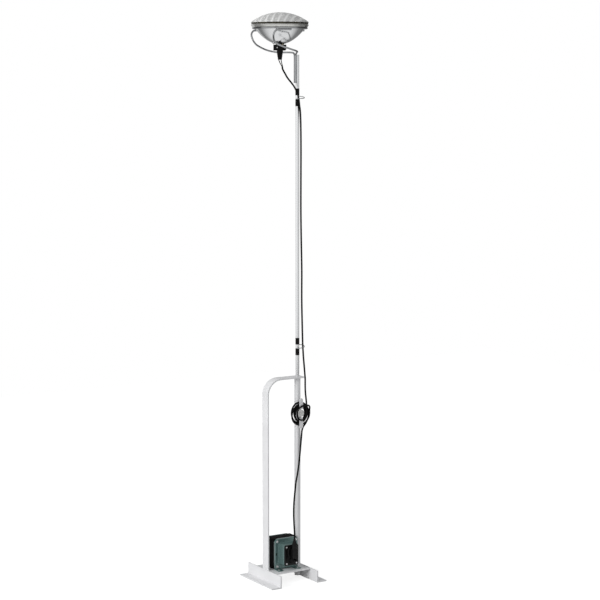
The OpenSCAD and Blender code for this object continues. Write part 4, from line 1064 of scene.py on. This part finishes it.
for i, (x, z) in four_places((-bolt_x, bolt_x), (core_mid - bolt_z, core_mid + bolt_z)):
    washer = turned([(2.2 * mm, 0), (4.6 * mm, 0), (4.8 * mm, 0.4 * mm), (4.6 * mm, 0.8 * mm),
                     (2.2 * mm, 0.8 * mm), (2.2 * mm, 0)], 32, "-Y", (x, low.y + 3.9 * mm, z))
    finish_piece("core_washer_%d" % i, washer, zinc, "frame_body")
    bolt = slot_screw(4.0 * mm, 3.1 * mm, "-Y", (x, low.y + 3.1 * mm, z), 37 * i)
    straight_bar(bolt, 20, 2.4 * mm, high.y - low.y - 4 * mm, "-Y",
                 (x, (low.y + high.y) / 2 + 1.9 * mm, z))
    finish_piece("core_bolt_%d" % i, bolt, zinc, "frame_body",
                 ["core_bolts"] if i == 1 else (), 0.2 * mm, 30)
    nut = bmesh.new()
    straight_bar(nut, 6, 4.5 * mm, nut_high.y - nut_low.y, "-Y", (x, (nut_low.y + nut_high.y) / 2, z))
    finish_piece("core_nut_%d" % i, nut, zinc, "frame_body",
                 ["core_nuts"] if i == 1 else (), 0.4 * mm)
low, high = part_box("tray_screws")
nut_low, nut_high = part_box("tray_nuts")
for i, (x, y) in four_places((-tab_x, tab_x), (core_low.y - tab_y, core_high.y + tab_y)):
    head = slot_screw(3.7 * mm, 2.2 * mm, "Z", (x, y, high.z - 2.2 * mm), 70 * i)
    finish_piece("tray_screw_%d" % i, head, zinc, "frame_body",
                 ["tray_screws"] if i == 1 else (), 0.2 * mm, 30)
    nut = bmesh.new()
    straight_bar(nut, 6, 4 * mm, nut_high.z - nut_low.z, "Z", (x, y, (nut_low.z + nut_high.z) / 2))
    straight_bar(nut, 20, 2 * mm, nut_high.z - low.z, "Z", (x, y, (nut_high.z + low.z) / 2))
    finish_piece("tray_nut_%d" % i, nut, zinc, "frame_body",
                 ["tray_nuts"] if i == 1 else (), 0.3 * mm)

# ---------------------------------------------------------------------------------------------
# Socket panel. A black moulded plate screwed to the front cover: the lamp's outlet above, a
# fuse under a slotted cap below.
black_panel = surface("black_panel", (0.004, 0.004, 0.004), (0.007, 0.007, 0.007), (0.3, 0.42),
                      grain=80, relief=0.25, relief_grain=1400, specular=0.25)
low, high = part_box("socket_panel")
panel_mid, panel_t = (low.z + high.z) / 2, 3 * mm
bm = bmesh.new()
ring = rounded_loop(bm, (high.x - low.x) / 2, (high.z - low.z) / 2, 6 * mm, 0)
back = bmesh.ops.contextual_create(bm, geom=ring)["faces"][0]
push(bm, back, (0, -panel_t, 0))
bmesh.ops.recalc_face_normals(bm, faces=bm.faces)
front_edge = edges_where(bm, lambda c, d: c.y < 0.1 * mm - panel_t)
round_edges(bm, front_edge, 1.1 * mm, 3)
sunk = [f for f in bm.faces if f.normal.y < -0.99]
bmesh.ops.inset_region(bm, faces=sunk, thickness=2.3 * mm, use_even_offset=True)
bmesh.ops.inset_region(bm, faces=sunk, thickness=0.35 * mm, depth=-0.4 * mm, use_even_offset=True)
bm.transform(Matrix.Translation((0, high.y, panel_mid)))
finish_piece("panel_plate", bm, black_panel, "frame_body", ["socket_panel"],
             crease=50)
outlet_x, outlet_z = cord_in.x, panel_mid + 10 * mm
rim_end, rim_out = outlet_x - 9.6 * mm, 2 * mm
outer_r, inner_r = 14 * mm, 9.5 * mm
outer_x, inner_x = outlet_x - 6 * mm, outlet_x - 5.5 * mm   # centres of the two rounded corners
rise = 4 * mm
outer_cut = math.degrees(math.acos((rim_end - outer_x) / outer_r))
inner_cut = math.degrees(math.acos((rim_end - inner_x) / inner_r))
outline = (arc(outer_x, outlet_z + rise, outer_r, outer_cut, 180, 9)
           + arc(outer_x, outlet_z - rise, outer_r, 180, 360 - outer_cut, 9)
           + arc(inner_x, outlet_z - rise, inner_r, 360 - inner_cut, 180, 9)
           + arc(inner_x, outlet_z + rise, inner_r, 180, inner_cut, 9))
bm = bmesh.new()
face = outline_face(bm, [(x, high.y - 2.9 * mm, z) for x, z in outline])
push(bm, face, (0, -rim_out - 0.1 * mm, 0))
bmesh.ops.recalc_face_normals(bm, faces=bm.faces)
finish_piece("outlet_rim", bm, black_panel, "frame_body", (), 0.7 * mm)
screw_low, screw_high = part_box("panel_screws")
head_r = 2.8 * mm
for i, (x, z) in four_places((screw_low.x + head_r, screw_high.x - head_r),
                             (screw_low.z + head_r, screw_high.z - head_r)):
    bm = slot_screw(head_r, 2.0 * mm, "-Y", (x, high.y - 2.8 * mm, z), 25 + 60 * i)
    finish_piece("panel_screw_%d" % i, bm, zinc, "frame_body",
                 ["panel_screws"] if i == 1 else (), 0.15 * mm, 30)
cap_low, cap_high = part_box("fuse_cap")
fuse_z = (cap_low.z + cap_high.z) / 2
collar = [(8.2 * mm, 0), (9.3 * mm, 0), (9.3 * mm, 0.9 * mm), (8.9 * mm, 1.4 * mm),
          (8.6 * mm, 1.4 * mm), (8.2 * mm, 1.1 * mm), (8.2 * mm, 0)]
finish_piece("fuse_collar", turned(collar, 64, "-Y", (0, high.y - 2.7 * mm, fuse_z)), black_panel,
             "frame_body", crease=40)
cap_r, cap_h, cap_grooves, groove_deep = 8 * mm, 6 * mm, 24, 0.3 * mm
slot_half, slot_deep = 0.7 * mm, 1 * mm
profile = ([(0, 0), (cap_r - 0.4 * mm, 0), (cap_r - 0.4 * mm, 1 * mm)]
           + arc(cap_r - 1.4 * mm, cap_h - 1.2 * mm, 1.2 * mm, 0, 85, 5) + [(0, cap_h)])
bm = turned(profile, 96, "-Y", (0, cap_low.y + cap_h, fuse_z))
for v in bm.verts:
    out = Vector((v.co.x, 0, v.co.z - fuse_z))
    if out.length > cap_r - 1.0 * mm:
        ripple = 0.5 + 0.5 * math.cos(cap_grooves * math.atan2(out.z, out.x))
        v.co -= out.normalized() * groove_deep * ripple
    if abs(v.co.z - fuse_z) < slot_half and v.co.y < cap_low.y + 0.2 * mm:
        v.co.y += slot_deep
finish_piece("fuse_cap_knob", bm, black_plastic, "fuse_body", ["fuse_cap"])

# ---------------------------------------------------------------------------------------------
# Plug. Black moulded rubber: a deep grip with finger ribs, shoulders that taper into a ringed
# strain relief, and two brass pins in the outlet.
plug_rubber = surface("plug_rubber", (0.004, 0.004, 0.004), (0.008, 0.008, 0.008), (0.38, 0.5),
                      grain=60, relief=0.5, relief_grain=1500, specular=0.2)
low, high = plug_low, plug_high
plug_x = cord_in.x
plug_w, plug_h, relief_h = 18 * mm, 40 * mm, 7.4 * mm
cap_gap = 9.5 * mm                                 # the grip keeps this far from the fuse's axis
grip_depth, rib_out = high.y - low.y, 0.7 * mm
bm = bmesh.new()
corner = 3 * mm
bite = [(x, z) for x, z in arc(0, fuse_z, cap_gap, 70, -90, 26)
        if x > low.x + 0.05 * mm and z > low.z + 0.05 * mm]
bite = [(low.x, fuse_z + math.sqrt(cap_gap ** 2 - low.x ** 2))] + bite
bite += [(math.sqrt(cap_gap ** 2 - (fuse_z - low.z) ** 2), low.z)]
right = low.x + plug_w
outline = (bite + arc(right - corner, low.z + corner, corner, -90, 0, 6)
           + arc(right - corner, low.z + plug_h - corner, corner, 0, 90, 6)
           + arc(low.x + corner, low.z + plug_h - corner, corner, 90, 180, 6))
face = outline_face(bm, [(x, low.y + rib_out, z) for x, z in outline])
push(bm, face, (0, grip_depth - rib_out, 0))
bmesh.ops.recalc_face_normals(bm, faces=bm.faces)
front_rim = edges_where(bm, lambda c, d: same(c.y, low.y + rib_out) and abs(d.y) < 0.1)
round_edges(bm, front_rim, 1.8 * mm, 4)
rear_rim = edges_where(bm, lambda c, d: same(c.y, high.y) and abs(d.y) < 0.1)
round_edges(bm, rear_rim, 0.7 * mm, 2)
plug = finish_piece("plug_grip", bm, plug_rubber, "frame_body", ["plug_body"],
                    crease=40)
boxy = 0.62                                        # 1 would make the sections oval
# Each section of the shoulders: how high up, and its half width and half thickness, in mm.
shoulders = [(0, 8.7, 6.0), (6, 8.7, 6.3), (13, 8.5, 6.35), (20, 7.7, 5.8), (26, 5.5, 4.3),
             (32, 4.1, 3.2)]
bm = bmesh.new()
loops = []
for rise, wide, thick in shoulders:
    ring = []
    for i in range(40):
        c, s = math.cos(math.pi * i / 20), math.sin(math.pi * i / 20)
        x = math.copysign(abs(c) ** boxy, c) * wide * mm
        y = math.copysign(abs(s) ** boxy, s) * thick * mm
        ring.append(bm.verts.new((plug_x + x, cord_in.y + 1.05 * mm * (1 - rise / 32) + y,
                                  low.z + plug_h - 4 * mm + rise * mm)))
    loops.append([bm.edges.new(pair) for pair in zip(ring, ring[1:] + ring[:1])])
for near, far in zip(loops, loops[1:]):
    bmesh.ops.bridge_loops(bm, edges=near + far)
bmesh.ops.contextual_create(bm, geom=loops[0])
bmesh.ops.contextual_create(bm, geom=loops[-1])
bmesh.ops.recalc_face_normals(bm, faces=bm.faces)
shoulder = finish_piece("plug_shoulder", bm, plug_rubber, "frame_body", crease=50)
relief_z = high.z - relief_h
rings = 4
profile = [(0, -1 * mm), (4.4 * mm, -1 * mm)]
pitch = relief_h / rings
for i in range(rings):
    r = (4.6 - 0.26 * i) * mm
    z = i * pitch
    profile += [(r, z), (r, z + 0.55 * pitch), (r - 0.7 * mm, z + 0.62 * pitch),
                (r - 0.7 * mm, z + 0.93 * pitch)]
profile += [(2.9 * mm, relief_h), (0, relief_h)]
relief = finish_piece("plug_relief", turned(profile, 40, "Z", (cord_in.x, cord_in.y, relief_z)),
                      plug_rubber, "frame_body", crease=40)
for i in range(5):
    z = low.z + (17 + 4 * i) * mm
    bm = bmesh.new()
    block(bm, (plug_x - plug_w / 2 + 2.6 * mm, low.y, z - 0.9 * mm),
          (plug_x + plug_w / 2 - 2.6 * mm, low.y + 2 * rib_out, z + 0.9 * mm))
    finish_piece("plug_rib_%d" % (i + 1), bm, plug_rubber,
                             "frame_body", (), 0.35 * mm)

# ---------------------------------------------------------------------------------------------
# Mains gland. A black plastic cable gland in the rear cover: a flange, a six-sided nut and a
# tapered collar with an open bore.
low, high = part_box("mains_gland")
gland_z, wall = (low.z + high.z) / 2, core_high.y + pan_depth
profile = [(3.5 * mm, -4 * mm), (6.4 * mm, -4 * mm), (6.4 * mm, 0), (9 * mm, 0), (9 * mm, 1.2 * mm),
           (8.4 * mm, 1.6 * mm), (7 * mm, 1.6 * mm), (7 * mm, 5.5 * mm), (6.6 * mm, 8.5 * mm),
           (5.2 * mm, 12.4 * mm), (4.4 * mm, 13 * mm), (3.5 * mm, 13 * mm), (3.5 * mm, -4 * mm)]
finish_piece("gland_collar", turned(profile, 48, "Y", (0, wall, gland_z)), black_plastic,
             "frame_body", ["mains_gland"], crease=40)
bm = bmesh.new()
straight_bar(bm, 6, 9.2 * mm, 3.4 * mm, "-Y", (0, wall + 3.3 * mm, gland_z))
finish_piece("gland_nut", bm, black_plastic, "frame_body", (), 0.5 * mm)

# ---------------------------------------------------------------------------------------------
# Pieces that stay as they are built: the windings on their bobbin, the bush, slider and plugs
# of the tube, the burner in the lamp, and the contacts and pins.
brass = surface("brass", (0.52, 0.44, 0.26), (0.66, 0.57, 0.36), (0.28, 0.42), metallic=1.0,
                grain=200, relief=0.15)
copper = surface("copper", (0.34, 0.13, 0.05), (0.55, 0.25, 0.11), (0.25, 0.4), metallic=0.8,
                 grain=60, stretch=(1, 1, 30), relief=0.8, relief_grain=400)
burner, tree, shader, place = new_finish("burner_glass")
smear = add_node(tree, "TexNoise", {"Vector": place, "Scale": 300}).outputs["Fac"]
gloss = add_node(tree, "MapRange", {"Value": smear, "To Min": 0.05, "To Max": 0.3})
wire_up(tree, shader, {"Base Color": (0.86, 0.84, 0.76, 1), "Transmission Weight": 0.5,
                       "Roughness": gloss.outputs["Result"]})
kept = {"tube_end_plug": black_plastic, "guide_bush": grey_plastic, "clamp_screw": zinc,
        "stem_slider": black_plastic, "lamp_burner": burner, "lamp_terminals": brass,
        "winding_bobbin": grey_plastic, "primary_winding": copper, "secondary_winding": copper,
        "outlet_contacts": brass, "fuse_holder": black_plastic, "fuse_link": burner,
        "plug_pins": brass}
for name, material in kept.items():
    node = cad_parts[name]
    node.data.materials.clear()
    node.data.materials.append(material)
